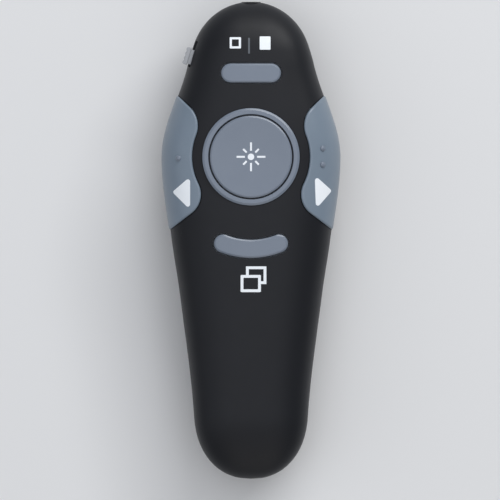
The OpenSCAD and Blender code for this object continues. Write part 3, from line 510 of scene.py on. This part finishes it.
def linear(colour):
    """An sRGB hex colour as the linear values that shaders take."""
    parts = np.array([int(colour[i : i + 2], 16) for i in (1, 3, 5)]) / 255
    parts = np.where(parts <= 0.04045, parts / 12.92, ((parts + 0.055) / 1.055) ** 2.4)
    return (*parts.tolist(), 1.0)


def add_node(tree, kind, inputs=None, **settings):
    """Adds a node: its own settings, and its inputs by name, each a value or another node's output."""
    node = tree.nodes.new("ShaderNode" + kind)
    for name, value in settings.items():
        setattr(node, name, value)
    for name, value in (inputs or {}).items():
        socket = node.inputs[name]
        if isinstance(value, bpy.types.NodeSocket):
            tree.links.new(value, socket)
        else:
            socket.default_value = value
    return node


def finish_of(name, shade, tint, mottle, grain, depth, rough, shader=None):
    """A surface whose colour drifts between two shades over mottle millimetres, whose gloss drifts over a
    third of that between the two values of rough, and whose texture has bumps of about grain millimetres
    and depth millimetres deep. shader holds the surface's other inputs."""
    material = bpy.data.materials.new(name)
    material.use_nodes = True
    tree = material.node_tree
    tree.nodes.clear()
    place = add_node(tree, "TexCoord").outputs["Object"]
    drift = add_node(tree, "TexNoise", {"Vector": place, "Scale": 1 / (mottle * MM), "Detail": 3.0})
    colour = add_node(tree, "Mix", {"Factor": drift.outputs["Fac"]}, data_type="RGBA")
    colour.inputs["A"].default_value = linear(shade)
    colour.inputs["B"].default_value = linear(tint)
    gloss = add_node(tree, "TexNoise", {"Vector": place, "Scale": 3 / (mottle * MM), "Detail": 4.0})
    roughness = add_node(
        tree, "MapRange", {"Value": gloss.outputs["Fac"], "To Min": rough[0], "To Max": rough[1]}
    )
    bumps = add_node(tree, "TexNoise", {"Vector": place, "Scale": 1 / (grain * MM), "Detail": 2.0})
    relief = add_node(
        tree, "Bump", {"Height": bumps.outputs["Fac"], "Distance": depth * MM, "Strength": 1.0}
    )
    surface = add_node(
        tree,
        "BsdfPrincipled",
        {
            "Base Color": colour.outputs["Result"],
            "Roughness": roughness.outputs["Result"],
            "Normal": relief.outputs["Normal"],
            **(shader or {}),
        },
    )
    add_node(tree, "OutputMaterial", {"Surface": surface.outputs["BSDF"]})
    return material


# Real grits and tool marks are mostly finer than a tenth of a millimetre and wouldn't show, so the grains
# below are drawn coarser, at 0.15 to 0.6 mm.

# Rubbery soft-touch paint over moulded ABS: a near-black navy with a dull, slightly milky sheen
case_paint = finish_of(
    "soft_touch_paint_on_abs", "#121419", "#15171d", mottle=6, grain=0.3, depth=0.004, rough=(0.44, 0.52),
    shader={"IOR": 1.45, "Specular IOR Level": 0.35},
)
# Spark-textured moulded ABS of the side keys: slate grey, even, with a fine dry grain
key_abs = finish_of(
    "slate_abs_spark_textured", "#748291", "#798795", mottle=4, grain=0.28, depth=0.004, rough=(0.3, 0.38),
    shader={"IOR": 1.53},
)
# Satin painted ABS of the laser button, its ring and the pills: the same slate, smoother, so that their
# bevels catch the light
satin_abs = finish_of(
    "slate_abs_satin_paint", "#727c8b", "#77818f", mottle=5, grain=0.3, depth=0.002, rough=(0.27, 0.34),
    shader={"IOR": 1.5},
)
# Pad-printing ink: white, thin, flat and slightly chalky
white_ink = finish_of(
    "white_pad_print_ink", "#f1f7fd", "#f4f9fe", mottle=1.5, grain=0.2, depth=0.002, rough=(0.5, 0.6),
)
# The same ink in mid grey, quiet against the black case
grey_ink = finish_of(
    "grey_pad_print_ink", "#565c63", "#5c6269", mottle=1.5, grain=0.2, depth=0.002, rough=(0.5, 0.6),
)
# Moulded ABS of the power knob: paler grey, rubbed smooth by the thumb
knob_abs = finish_of(
    "pale_grey_moulded_abs", "#9a9da2", "#a6a9ad", mottle=2, grain=0.25, depth=0.004, rough=(0.38, 0.5),
)
# Black ABS of the receiver's cap: fine matt mould texture, a little paler than the case's paint
cap_abs = finish_of(
    "black_abs_matt_moulded", "#1f2023", "#242529", mottle=4, grain=0.25, depth=0.006, rough=(0.45, 0.58),
)
# Zinc-plated steel screws: bright grey with a cloudy, slightly yellow bloom
zinc_steel = finish_of(
    "zinc_plated_steel", "#b8b6ae", "#c9c8c4", mottle=0.8, grain=0.2, depth=0.002, rough=(0.28, 0.42),
    shader={"Metallic": 1.0},
)
# Black anodised aluminium of the laser's ferrule: turned, with a dark satin lustre
anodised = finish_of(
    "black_anodised_aluminium", "#1c1c1f", "#232327", mottle=1, grain=0.2, depth=0.001, rough=(0.28, 0.36),
    shader={"Metallic": 0.6},
)
# Nickel plating of the dock's magnet: warm white metal with soft highlights
nickel = finish_of(
    "nickel_plated_turned", "#bdbab2", "#c6c3bb", mottle=2, grain=0.3, depth=0.001, rough=(0.18, 0.26),
    shader={"Metallic": 1.0},
)
# Pressed stainless steel of cans, shells and springs: cool grey with a fine soft gloss
stainless = finish_of(
    "stainless_steel_pressed", "#b4b8bd", "#bfc2c6", mottle=1.5, grain=0.2, depth=0.001, rough=(0.24, 0.34),
    shader={"Metallic": 1.0},
)
# Turned brass of the laser's barrel: yellow metal with fine tool marks
brass = finish_of(
    "turned_brass", "#c9a45c", "#d2b06a", mottle=1.2, grain=0.2, depth=0.002, rough=(0.22, 0.32),
    shader={"Metallic": 1.0},
)
# Hard gold flash on contacts: deep yellow and bright
gold = finish_of(
    "gold_flashed_contact", "#d8a93f", "#e0b452", mottle=0.8, grain=0.2, depth=0.001, rough=(0.16, 0.24),
    shader={"Metallic": 1.0},
)
# Cast acrylic window in front of the laser: clear, faintly smoky
acrylic = finish_of(
    "clear_acrylic", "#dfe6ea", "#e6ebee", mottle=2, grain=0.3, depth=0.0005, rough=(0.02, 0.05),
    shader={"IOR": 1.49, "Transmission Weight": 0.9},
)
# FR-4 board under black solder mask: glossy lacquer, uneven over the weave, with a hint of its green base
solder_mask = finish_of(
    "black_solder_mask", "#151e1a", "#1b2621", mottle=1.6, grain=0.4, depth=0.003, rough=(0.22, 0.34),
)
# Black glass-filled nylon of the push switches: dull black, a little uneven
nylon = finish_of(
    "black_glass_filled_nylon", "#26272a", "#2d2e31", mottle=1, grain=0.2, depth=0.004, rough=(0.4, 0.55),
)
# Natural acetal of the plungers: waxy ivory
acetal = finish_of(
    "natural_acetal", "#cfc9b4", "#d8d2bf", mottle=1, grain=0.2, depth=0.002, rough=(0.32, 0.42),
    shader={"Subsurface Weight": 0.1, "Subsurface Scale": 0.001},
)
# Moulded epoxy of the chips: dull charcoal with a grit of filler
epoxy = finish_of(
    "charcoal_epoxy_chip", "#1e1f21", "#26272a", mottle=0.8, grain=0.15, depth=0.004, rough=(0.5, 0.65),
)
# Fired ceramic capacitors: tan, dry
ceramic = finish_of(
    "tan_fired_ceramic", "#9a7f62", "#a88d70", mottle=0.6, grain=0.15, depth=0.003, rough=(0.45, 0.55),
)
# Printed shrink film round the cells: slate blue under a clear gloss
cell_sleeve = finish_of(
    "printed_shrink_film", "#2f5673", "#35607f", mottle=4, grain=0.6, depth=0.003, rough=(0.2, 0.3),
    shader={"Coat Weight": 0.4, "Coat Roughness": 0.08},
)
# The film's metallised band at the positive end: pale silver, slightly warm
cell_band = finish_of(
    "metallised_shrink_film", "#b9b4a8", "#c4bfb4", mottle=4, grain=0.6, depth=0.003, rough=(0.25, 0.33),
    shader={"Metallic": 0.8},
)
# Liquid-crystal polymer tongue of the plug: off-white, smooth
tongue_lcp = finish_of(
    "offwhite_lcp_moulding", "#d8d6cf", "#e0ded8", mottle=1.5, grain=0.2, depth=0.002, rough=(0.35, 0.45),
)


# ================= shells, door and keys =================

# the shells are rounded only along their parting plane, the door nowhere, and the keys all round
shell_cut = {"ease": 0.2, "seams": [(2, SPLIT_Z, 0.02)]}
door_cut = {"ease": 0.0}
key_cut = {"inset": -KEY_PROUD, "ease": 0.45, "finest": 0.1, "even": 1.0}
for name, node, body, slot, material, cut in (
    ("top_cover", "top_shell", "case", "case_plastic", case_paint, shell_cut),
    ("bottom_cover", "bottom_shell", "case", "case_plastic", case_paint, shell_cut),
    ("door_cover", "battery_door", "door", "case_plastic", case_paint, door_cut),
    ("back_cap", "back_key", "back_rocker", "key_plastic", key_abs, key_cut),
    ("forward_cap", "forward_key", "forward_rocker", "key_plastic", key_abs, key_cut),
):
    piece = smooth_copy(name, node, material, **cut)
    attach(piece, body)


# ================= laser button, its ring and the pills =================

CAP_R, CAP_TOP = 9.1, RING_TOP + 0.3
RING_R, RING_NECK, RING_BORE = 10.8, 10.0, 9.45
DISH_R, DISH_DEEP, DISH_POWER = CAP_R - 0.6, 0.42, 1.7
STEM_R, STEM_FOOT = 1.75, 19.83


def ring_profile():
    """Neck with its snap bead, flange and bevelled crown of the ring, anticlockwise from the foot of its
    bore. The crown's corners are rounded."""
    flange = RING_SEAT + 0.02
    corners = [
        (RING_BORE, COLLAR_Z - 0.9), (RING_NECK + 0.1, COLLAR_Z - 0.9), (RING_NECK + 0.35, COLLAR_Z - 0.5),
        (RING_NECK, COLLAR_Z - 0.1), (RING_NECK, flange), (RING_R, flange), (RING_R, RING_TOP - 0.27),
        (RING_R - 0.48, RING_TOP), (RING_BORE, RING_TOP),
    ]
    return eased_profile(corners, [0, 0, 0, 0, 0, 0.08, 0.12, 0.16, 0.12])


def dished(r):
    """Height of the laser button's face at radius r: a bowl that falls by DISH_DEEP * (1 - (r / R)^power)."""
    return CAP_TOP - DISH_DEEP * (1 - (r / DISH_R) ** DISH_POWER)


def button_profile():
    """Stem, skirt, flange, rounded edge and dished face of the laser button, from the axis out and back."""
    under, flange, flange_low = CAP_TOP - 2.4, COLLAR_Z - 1.2, COLLAR_Z - 1.9
    skirt_r, flange_r = CAP_R - 1.3, CAP_R + 0.6
    foot = [
        (0, STEM_FOOT), (STEM_R, STEM_FOOT), (STEM_R, under), (skirt_r, under),
        (skirt_r, flange_low), (flange_r, flange_low), (flange_r, flange),
    ]
    edge = eased_profile(
        [(CAP_R, flange), (CAP_R, CAP_TOP - 0.2), (CAP_R - 0.36, CAP_TOP), (CAP_R - 2, CAP_TOP - 0.04)],
        [0, 0.1, 0.12, 0],
    )[:-1]
    r = np.linspace(DISH_R, 0, 22)
    return np.concatenate([np.array(foot), edge, np.stack([r, dished(r)], 1)])


PILL_STEPS = 28  # points along a pill's side, and round its end
PILL_PROUD = 0.4  # how far a pill stands above the case's skin
BLANK_LONG, BLANK_WIDE = 13.2, 4.2
WINDOW_BEND, WINDOW_SWEEP, WINDOW_WIDE = 16.9, 21.5, 4.0
FACE_R = 60.0  # radius of a pill's crowned face


def straight_pill(length, width):
    """Middle line and outward direction round a straight pill: along one side, round an end, and back."""
    half, n = (length - width) / 2, PILL_STEPS
    side = np.linspace(-half, half, n)
    turn = np.linspace(-np.pi / 2, np.pi / 2, n)[1:-1]
    line = np.concatenate([side, np.full(n - 2, half), -side, np.full(n - 2, -half)])
    angle = np.concatenate([np.full(n, -np.pi / 2), turn, np.full(n, np.pi / 2), turn + np.pi])
    return np.stack([line, 0 * line], 1), np.stack([np.cos(angle), np.sin(angle)], 1)


def bent_pill(radius, half_angle):
    """The same round a pill whose middle line is an arc about a centre in front of it."""
    n, a = PILL_STEPS, math.radians(half_angle)
    sweep, turn = np.linspace(-a, a, n), np.linspace(0, np.pi, n)[1:-1]
    at = np.concatenate([sweep, np.full(n - 2, a), -sweep, np.full(n - 2, -a)])
    facing = np.concatenate([sweep, a + turn, -sweep + np.pi, -a + np.pi + turn])
    line = radius * np.stack([np.sin(at), -np.cos(at)], 1)
    return line, np.stack([np.sin(facing), -np.cos(facing)], 1)


def pill_button(name, line, facing, centre, half, low, flange, face, material, ease=0.36):
    """A pill lofted from its foot up its wall, over an eased bevel and in to its middle line. face gives the
    height of its crowned top over a place in plan, and flange is how far out its foot goes and how thick it
    is."""
    centre = np.array(centre)
    bevel_fall = 0.57 * ease
    bevel = eased_profile([(0, -2), (0, -bevel_fall), (ease, 0), (half, 0)], [0, 0.1, 0.12, 0])[1:-1]
    inward = np.concatenate([bevel[:, 0], np.linspace(bevel[-1, 0], half, 7)[1:]])
    drop = np.concatenate([-bevel[:, 1], np.zeros(6)])
    wide, tall = flange
    rings = []
    for out, z in ((-half, low), (wide, low), (wide, low + tall), (0, low + tall)):
        plan = centre + line + (half + out) * facing
        rings.append(np.column_stack([plan, np.full(len(plan), z)]))
    for d, fall in zip(inward, drop):
        plan = centre + line + (half - d) * facing
        rings.append(np.column_stack([plan, face(*plan.T) - fall]))
    return lofted(name, rings, material)


def crowned_face(y0, top, slope):
    """Height of a cylinder of radius FACE_R that lies along the case and leans by slope degrees."""
    rise = math.tan(math.radians(slope))
    return lambda x, y: top - FACE_R + np.sqrt(FACE_R**2 - x**2) + (y - y0) * rise


def case_top(x, y, t=0.0):
    """top_height() at one place, as a plain number."""
    return float(top_height(np.array(x), np.array(y), t))


ring = turned("laser_bezel", ring_profile(), (0, LASER_Y, 0), satin_abs)
laser_cap = turned("laser_cap", button_profile(), (0, LASER_Y, 0), satin_abs)
blank_cap = pill_button(
    "blank_cap",
    *straight_pill(BLANK_LONG, BLANK_WIDE),
    centre=(0, BLANK_Y),
    half=BLANK_WIDE / 2,
    low=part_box("blank_button")[0].z / MM,
    flange=(0.5, 0.6),
    face=crowned_face(BLANK_Y, case_top(0.0, BLANK_Y) + PILL_PROUD, -4.5),
    material=satin_abs,
)
window_cap = pill_button(
    "window_cap",
    *bent_pill(WINDOW_BEND, WINDOW_SWEEP),
    centre=(0, WINDOW_Y + WINDOW_BEND),
    half=WINDOW_WIDE / 2,
    low=case_top(9.0, WINDOW_Y - 2, WALL) - 1.1,  # clear of the case's inner face at the pill's far end
    flange=(0.6, 0.8),
    face=crowned_face(WINDOW_Y, case_top(0.0, WINDOW_Y) + PILL_PROUD, 1.8),
    material=satin_abs,
)
for piece, node, body, slot in (
    (ring, "laser_ring", "case", "ring_plastic"),
    (laser_cap, "laser_button", "laser_push", "key_plastic"),
    (blank_cap, "blank_button", "blank_push", "key_plastic"),
    (window_cap, "window_button", "window_push", "key_plastic"),
):
    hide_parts(node)
    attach(piece, body)


# ================= power knob =================

KNOB_Y, KNOB_Z, KNOB_OUT = 40.7, 16.3, 1.5
KNOB_LEAN = math.radians(-17)


def slab(name, outline, half_high, ease, material):
    """A flat piece of the knob, half_high above and below its middle: the outline drawn in by a quarter round
    at each edge, then in to its middle. An outline is drawn in by scaling it about its middle."""
    middle = (outline.max(0) + outline.min(0)) / 2
    half = (outline.max(0) - outline.min(0)) / 2
    turn = np.linspace(0, np.pi / 2, 5)
    inward, drop = ease * (1 - np.cos(turn)), ease * (1 - np.sin(turn))
    # from the bottom up: how far in each ring goes, and its height. The first and last shrink to a point.
    inward = np.concatenate([inward[::-1], inward])
    height = np.concatenate([drop[::-1] - half_high, half_high - drop])
    scale = np.concatenate([[[0, 0]], 1 - inward[:, None] / half, [[0, 0]]])[:, None]
    height = np.concatenate([[-half_high], height, [half_high]])[:, None]
    plan = middle + (outline - middle) * scale
    # from the knob's own frame, out of the case along -X, to its place on the side
    upward = (1 - ((KNOB_Z - SPLIT_Z) / crown(KNOB_Y)) ** SQUARENESS) ** (1 / SQUARENESS)
    x = plan[..., 0] * math.cos(KNOB_LEAN) - plan[..., 1] * math.sin(KNOB_LEAN) - half_width(KNOB_Y) * upward
    y = plan[..., 0] * math.sin(KNOB_LEAN) + plan[..., 1] * math.cos(KNOB_LEAN) + KNOB_Y
    return lofted(name, np.stack([x, y, height + KNOB_Z + 0 * x], -1), material)


def ribbed_outline():
    """The knob's grip from above, its corners rounded: its outer side is a cosine wave whose crests are the
    ribs, pitch apart."""
    half_long, inner, ribbed, pitch, deep = 1.95, -0.45, 1.5, 1.0, 0.18
    corners = [(-KNOB_OUT, -half_long), (inner, -half_long), (inner, half_long), (-KNOB_OUT, half_long)]
    plan = resampled(eased_profile(corners, [0.45, 0.1, 0.1, 0.45]), 144)
    outer = np.clip((-0.9 - plan[:, 0]) / 0.3, 0, 1) * (np.abs(plan[:, 1]) < ribbed)
    plan[:, 0] += outer * deep / 2 * (1 - np.cos(2 * np.pi * (plan[:, 1] - pitch / 2) / pitch))
    return plan


for piece in (
    slab("power_grip", ribbed_outline(), 0.8, 0.14, knob_abs),
    slab("power_neck", rounded(box_corners((0.95, 0), 2.9, 3.3), 0.2), 0.45, 0.05, knob_abs),
    slab("power_stem", rounded(box_corners((3.25, 0), 1.9, 1.4), 0.1), 0.4, 0.05, knob_abs),
):
    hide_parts("power_knob")
    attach(piece, "power_slider")


# ================= battery cells =================

CELL_R, CELL_LONG, CELL_NUB = 5.25, 44.5, 0.8
CELL_X, CELL_Z = 5.5, 7.3
FILM = 0.1  # the sleeve's thickness


def cell_pieces(side, x, foot, way):
    """A dry cell lying along Y from its flat end at foot towards way: a steel can with its nub, a printed
    sleeve that turns in over both ends, and a plain band next to the nub."""
    body = CELL_LONG - CELL_NUB
    split = body - 11  # where the band starts
    can_r, nub_r, lip_r = CELL_R - 0.12, 1.9, CELL_R - 0.9
    can = [
        (0, 0.15), (3.4, 0.15), (3.6, 0.05), (CELL_R - 0.4, 0.05), (can_r, 0.35), (can_r, body - 0.35),
        (CELL_R - 0.4, body - 0.05), (nub_r, body - 0.05), (nub_r, CELL_LONG - 0.2), (1.7, CELL_LONG),
        (0, CELL_LONG),
    ]
    sleeve = [
        (lip_r, 0), (CELL_R - 0.3, 0), (CELL_R, 0.3), (CELL_R, split), (CELL_R - FILM, split),
        (CELL_R - FILM, 0.3), (CELL_R - 0.35, 0.08), (lip_r, 0.08),
    ]
    band = [
        (CELL_R - FILM, split), (CELL_R, split), (CELL_R, body - 0.3), (CELL_R - 0.3, body), (lip_r, body),
        (lip_r, body - 0.08), (CELL_R - 0.35, body - 0.08), (CELL_R - FILM, body - 0.3),
    ]
    for part, profile, material in (
        ("can", can, stainless), ("sleeve", sleeve, cell_sleeve), ("band", band, cell_band)
    ):
        profile = np.array(profile, float) * (1, way)
        piece = turned(f"{side}_cell_{part}", profile, (x, foot, CELL_Z), material, steps=96, axis="y")
        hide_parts(f"aaa_cell_{side}")
        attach(piece, "case")


cell_pieces("left", -CELL_X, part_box("aaa_cell_left")[0].y / MM, 1)
cell_pieces("right", CELL_X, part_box("aaa_cell_right")[1].y / MM, -1)


# ================= printed marks and raised dots =================

INK_TOP, INK_FOOT = 0.03, -0.05  # heights over the plastic of the ink's face and of its foot


def key_face(x, y):
    """Height of a side key's face over a place in plan."""
    return top_height(x, y, -KEY_PROUD)


def cap_face(x, y):
    """Height of the laser button's face over a place in plan."""
    return dished(np.hypot(x, y - LASER_Y))


def over_face(plan, face, up):
    """Points in plan laid on a face and raised by up."""
    return np.column_stack([plan, face(*plan.T) + up])


def printed(name, outline, face, material, body, slot, inner=None):
    """Ink on a curved face: the outline follows the face just above it, filled by rings that shrink to the
    middle, or joined to an inner outline where the mark is hollow."""
    if inner is not None:
        rings = [(outline, INK_FOOT), (outline, INK_TOP), (inner, INK_TOP), (inner, INK_FOOT)]
    else:
        middle = outline.mean(0)
        rings = [(middle + 0 * outline, INK_FOOT), (outline, INK_FOOT)]
        rings += [(middle + s * (outline - middle), INK_TOP) for s in np.linspace(1, 0, 7)]
    rings = [over_face(plan, face, up) for plan, up in rings]
    piece = lofted(name, rings, material, closed=inner is not None)
    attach(piece, body)


def ink_path(name, path, width, face, material, body, slot):
    """A line of ink of one width along a path, mitred at its bends, on a curved face. Between bends it is cut
    into short runs, none nearer to a bend than the width, as those would cross the mitre."""
    path = np.asarray(path, float)
    cuts, least = 24, 0.3
    length = np.concatenate([[0], np.cumsum(np.linalg.norm(np.diff(path, axis=0), axis=1))])
    even = np.linspace(0, length[-1], cuts)
    even = even[np.abs(even[:, None] - length).min(1) > width]
    at = np.unique(np.concatenate([even, length]))
    line = np.stack([np.interp(at, length, path[:, i]) for i in (0, 1)], 1)
    run = unit(np.diff(line, axis=0))
    before, after = np.concatenate([run[:1], run]), np.concatenate([run, run[-1:]])
    side = unit(before + after)
    side = np.stack([-side[:, 1], side[:, 0]], 1) / np.maximum((side * after).sum(1), least)[:, None]
    left, right = line + side * width / 2, line - side * width / 2
    section = ((left, INK_FOOT), (left, INK_TOP), (right, INK_TOP), (right, INK_FOOT))
    rings = np.stack([over_face(plan, face, up) for plan, up in section], 1)
    last = 4 * len(rings) - 1
    ends = [[0, 1, 2, 3], [last, last - 1, last - 2, last - 3]]
    faces = grid_faces(len(rings), 4, closed_columns=True).tolist() + ends
    piece = add_mesh(name, rings.reshape(-1, 3), faces, material)
    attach(piece, body)


def raised_dot(name, place, radius, height, material, body):
    """A dot moulded on a key: half an ellipsoid whose axis is the key's normal, radius * cos(a) from the axis
    at height * sin(a) above the face, with a from sunk, a little under the face, to the top."""
    sunk, around = -0.5, 40
    foot = np.array([*place, float(key_face(*place))])
    _, gradient = skin_field(foot[None], -KEY_PROUD)
    normal = unit(gradient)[0]
    side = unit(np.cross(normal, (0, 1, 0)))
    front = np.cross(side, normal)
    a = np.concatenate([[sunk], np.linspace(sunk, np.pi / 2, 12)])[:, None, None]
    wide = radius * np.cos(a)
    wide[0] = 0  # the first ring closes the foot
    turn = np.arange(around)[None, :, None] * 2 * np.pi / around
    rings = foot + wide * (np.cos(turn) * side + np.sin(turn) * front) + height * np.sin(a) * normal
    piece = lofted(name, rings, material)
    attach(piece, body)


ON_CASE = (top_height, white_ink, "case", "case_plastic")
ON_BUTTON = (cap_face, white_ink, "laser_push", "key_plastic")
DOT_R, DOT_HIGH = 0.66, 0.5

for name, corners, body in (
    ("back_arrow", [(-17.48, 10.7), (-13.5, 6.75), (-13.5, 14.11)], "back_rocker"),
    ("forward_arrow", [(17.97, 11.0), (14.14, 14.43), (14.4, 6.88)], "forward_rocker"),
):
    printed(name, rounded(corners, 0.5), key_face, white_ink, body, "key_plastic")
for name, place, body in (
    ("back_dot", (-16.1, 18.2), "back_rocker"),
    ("forward_dot_front", (15.9, 20.4), "forward_rocker"),
    ("forward_dot_rear", (15.9, 16.8), "forward_rocker"),
):
    raised_dot(name, place, DOT_R, DOT_HIGH, satin_abs, body)

# a hollow square, a bar and a filled square at the nose
square = (-3.47, 43.8)
printed("hollow_square", rounded(box_corners(square, 2.5, 2.5), 0.12), *ON_CASE,
        inner=rounded(box_corners(square, 1.55, 1.55), 0.05))
printed("divider_bar", rounded(box_corners((-0.44, 43.15), 0.4, 3.5), 0.1),
        top_height, grey_ink, "case", "case_plastic")
printed("full_square", rounded(box_corners((3.13, 43.75), 2.4, 2.95), 0.12), *ON_CASE)

# two windows behind the bent pill; the rear one shows only where it comes out from behind the front one
window = (-0.05, -9.6)
printed("front_window", rounded(box_corners(window, 4.5, 3.8), 0.2), *ON_CASE,
        inner=rounded(box_corners(window, 3.26, 2.56), 0.08))
ink_path("rear_window", [(-0.8, -7.7), (-0.8, -6.1), (3.1, -6.1), (3.1, -9.4), (2.2, -9.4)], 0.62, *ON_CASE)

# a plain burst of light: a dot and eight rays, long and short in turn
BURST_R, RAY_FROM, RAY_TO, RAY_WIDE = 0.72, 1.35, (3.2, 2.45), 0.42
turn = np.arange(48) * np.pi / 24
circle = np.stack([np.cos(turn), np.sin(turn)], 1)
printed("burst_dot", np.array((0, LASER_Y)) + BURST_R * circle, *ON_BUTTON)
for i in range(8):
    angle = i * math.pi / 4
    way = np.array((math.sin(angle), math.cos(angle)))
    path = [way * r + (0, LASER_Y) for r in (RAY_FROM, RAY_TO[i % 2])]
    ink_path(f"burst_ray_{i}", path, RAY_WIDE, *ON_BUTTON)


# ================= finishes of the model's own nodes =================

node_finish = {
    "power_switch_can": stainless,
    "laser_ferrule": anodised,
    "laser_window": acrylic,
    "laser_barrel": brass,
    "laser_diode": gold,
    "circuit_board": solder_mask,
    "tact_switches": nylon,
    "laser_plunger": acetal,
    "blank_plunger": acetal,
    "window_plunger": acetal,
    "back_plunger": acetal,
    "forward_plunger": acetal,
    "controller_chip": epoxy,
    "radio_chip": epoxy,
    "crystal": stainless,
    "capacitors": ceramic,
    "cell_springs": stainless,
    "bridge_contact": stainless,
    "positive_contact": stainless,
    "negative_contact": stainless,
    "case_screws": zinc_steel,
    "board_screws": zinc_steel,
    "dock_magnet": nickel,
    "receiver_cap": cap_abs,
    "receiver_plug": stainless,
    "receiver_tongue": tongue_lcp,
    "receiver_contacts": gold,
}
for name, material in node_finish.items():
    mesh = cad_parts[name].data
    mesh.materials.clear()
    mesh.materials.append(material)


# ================= floor, lamps and camera =================


def stage_material(name, shade):
    """A plain matt sweep that shows as a pale backdrop and keeps the object's shadow."""
    material = bpy.data.materials.new(name)
    material.use_nodes = True
    tree = material.node_tree
    tree.nodes.clear()
    surface = add_node(tree, "BsdfPrincipled", {"Base Color": linear(shade), "Roughness": 0.9})
    add_node(tree, "OutputMaterial", {"Surface": surface.outputs["BSDF"]})
    return material


# metres: a sheet of 4 by 4, a hair under the case so that the two faces don't flicker
FLOOR, FLOOR_Z = 2.0, -2e-5
floor_mesh = bpy.data.meshes.new("floor")
corners = [(x, y, FLOOR_Z) for x, y in box_corners((0, 0), 2 * FLOOR, 2 * FLOOR)]
floor_mesh.from_pydata(corners, [], [(0, 1, 2, 3)])
floor_mesh.materials.append(stage_material("pale_matt_paper", "#e4e5e6"))
floor = bpy.data.objects.new("floor", floor_mesh)
bpy.context.scene.collection.objects.link(floor)

world = bpy.data.worlds.new("plain_studio")
bpy.context.scene.world = world
world.use_nodes = True
world.node_tree.nodes.clear()
sky = add_node(world.node_tree, "Background", {"Color": linear("#eef0f2"), "Strength": 0.28})
add_node(world.node_tree, "OutputWorld", {"Surface": sky.outputs["Background"]})


def lamp(name, place, wide, tall, power, shade):
    """A soft oblong lamp, level along its width, that faces the middle of the clicker. Measures in metres and
    watts."""
    data = bpy.data.lights.new(name, "AREA")
    data.shape, data.size, data.size_y = "RECTANGLE", wide, tall
    data.energy, data.color = power, linear(shade)[:3]
    light = bpy.data.objects.new(name, data)
    light.location = place
    away = np.array(place) - np.array((0, 0, 0.012))
    away = away / np.linalg.norm(away)
    light.rotation_euler = (math.acos(away[2]), 0, math.atan2(away[1], away[0]) + math.pi / 2)
    bpy.context.scene.collection.objects.link(light)


lamp("key_lamp", (0.36, 0.76, 0.57), 0.9, 0.14, 6.0, "#ffffff")
lamp("top_lamp", (0, 0.1, 1.1), 1.2, 1.2, 4.8, "#f6f8ff")
lamp("fill_lamp", (-0.7, -0.1, 0.6), 0.7, 0.7, 0.8, "#f2f6ff")
lamp("tail_lamp", (0.1, -0.8, 0.5), 0.6, 0.6, 1.1, "#fff8f0")

# straight down from 4.6 m through a very long lens, so that the near and far edges show at one scale
camera = bpy.data.objects.new("camera", bpy.data.cameras.new("camera"))
camera.data.lens, camera.data.sensor_width = 1500, 36
camera.data.clip_start, camera.data.clip_end = 0.01, 10
camera.location = (-0.22 * MM, -2.16 * MM, 4.63 + SPLIT_Z * MM)
bpy.context.scene.collection.objects.link(camera)
bpy.context.scene.camera = camera
bpy.context.scene.view_settings.view_transform = "Standard"
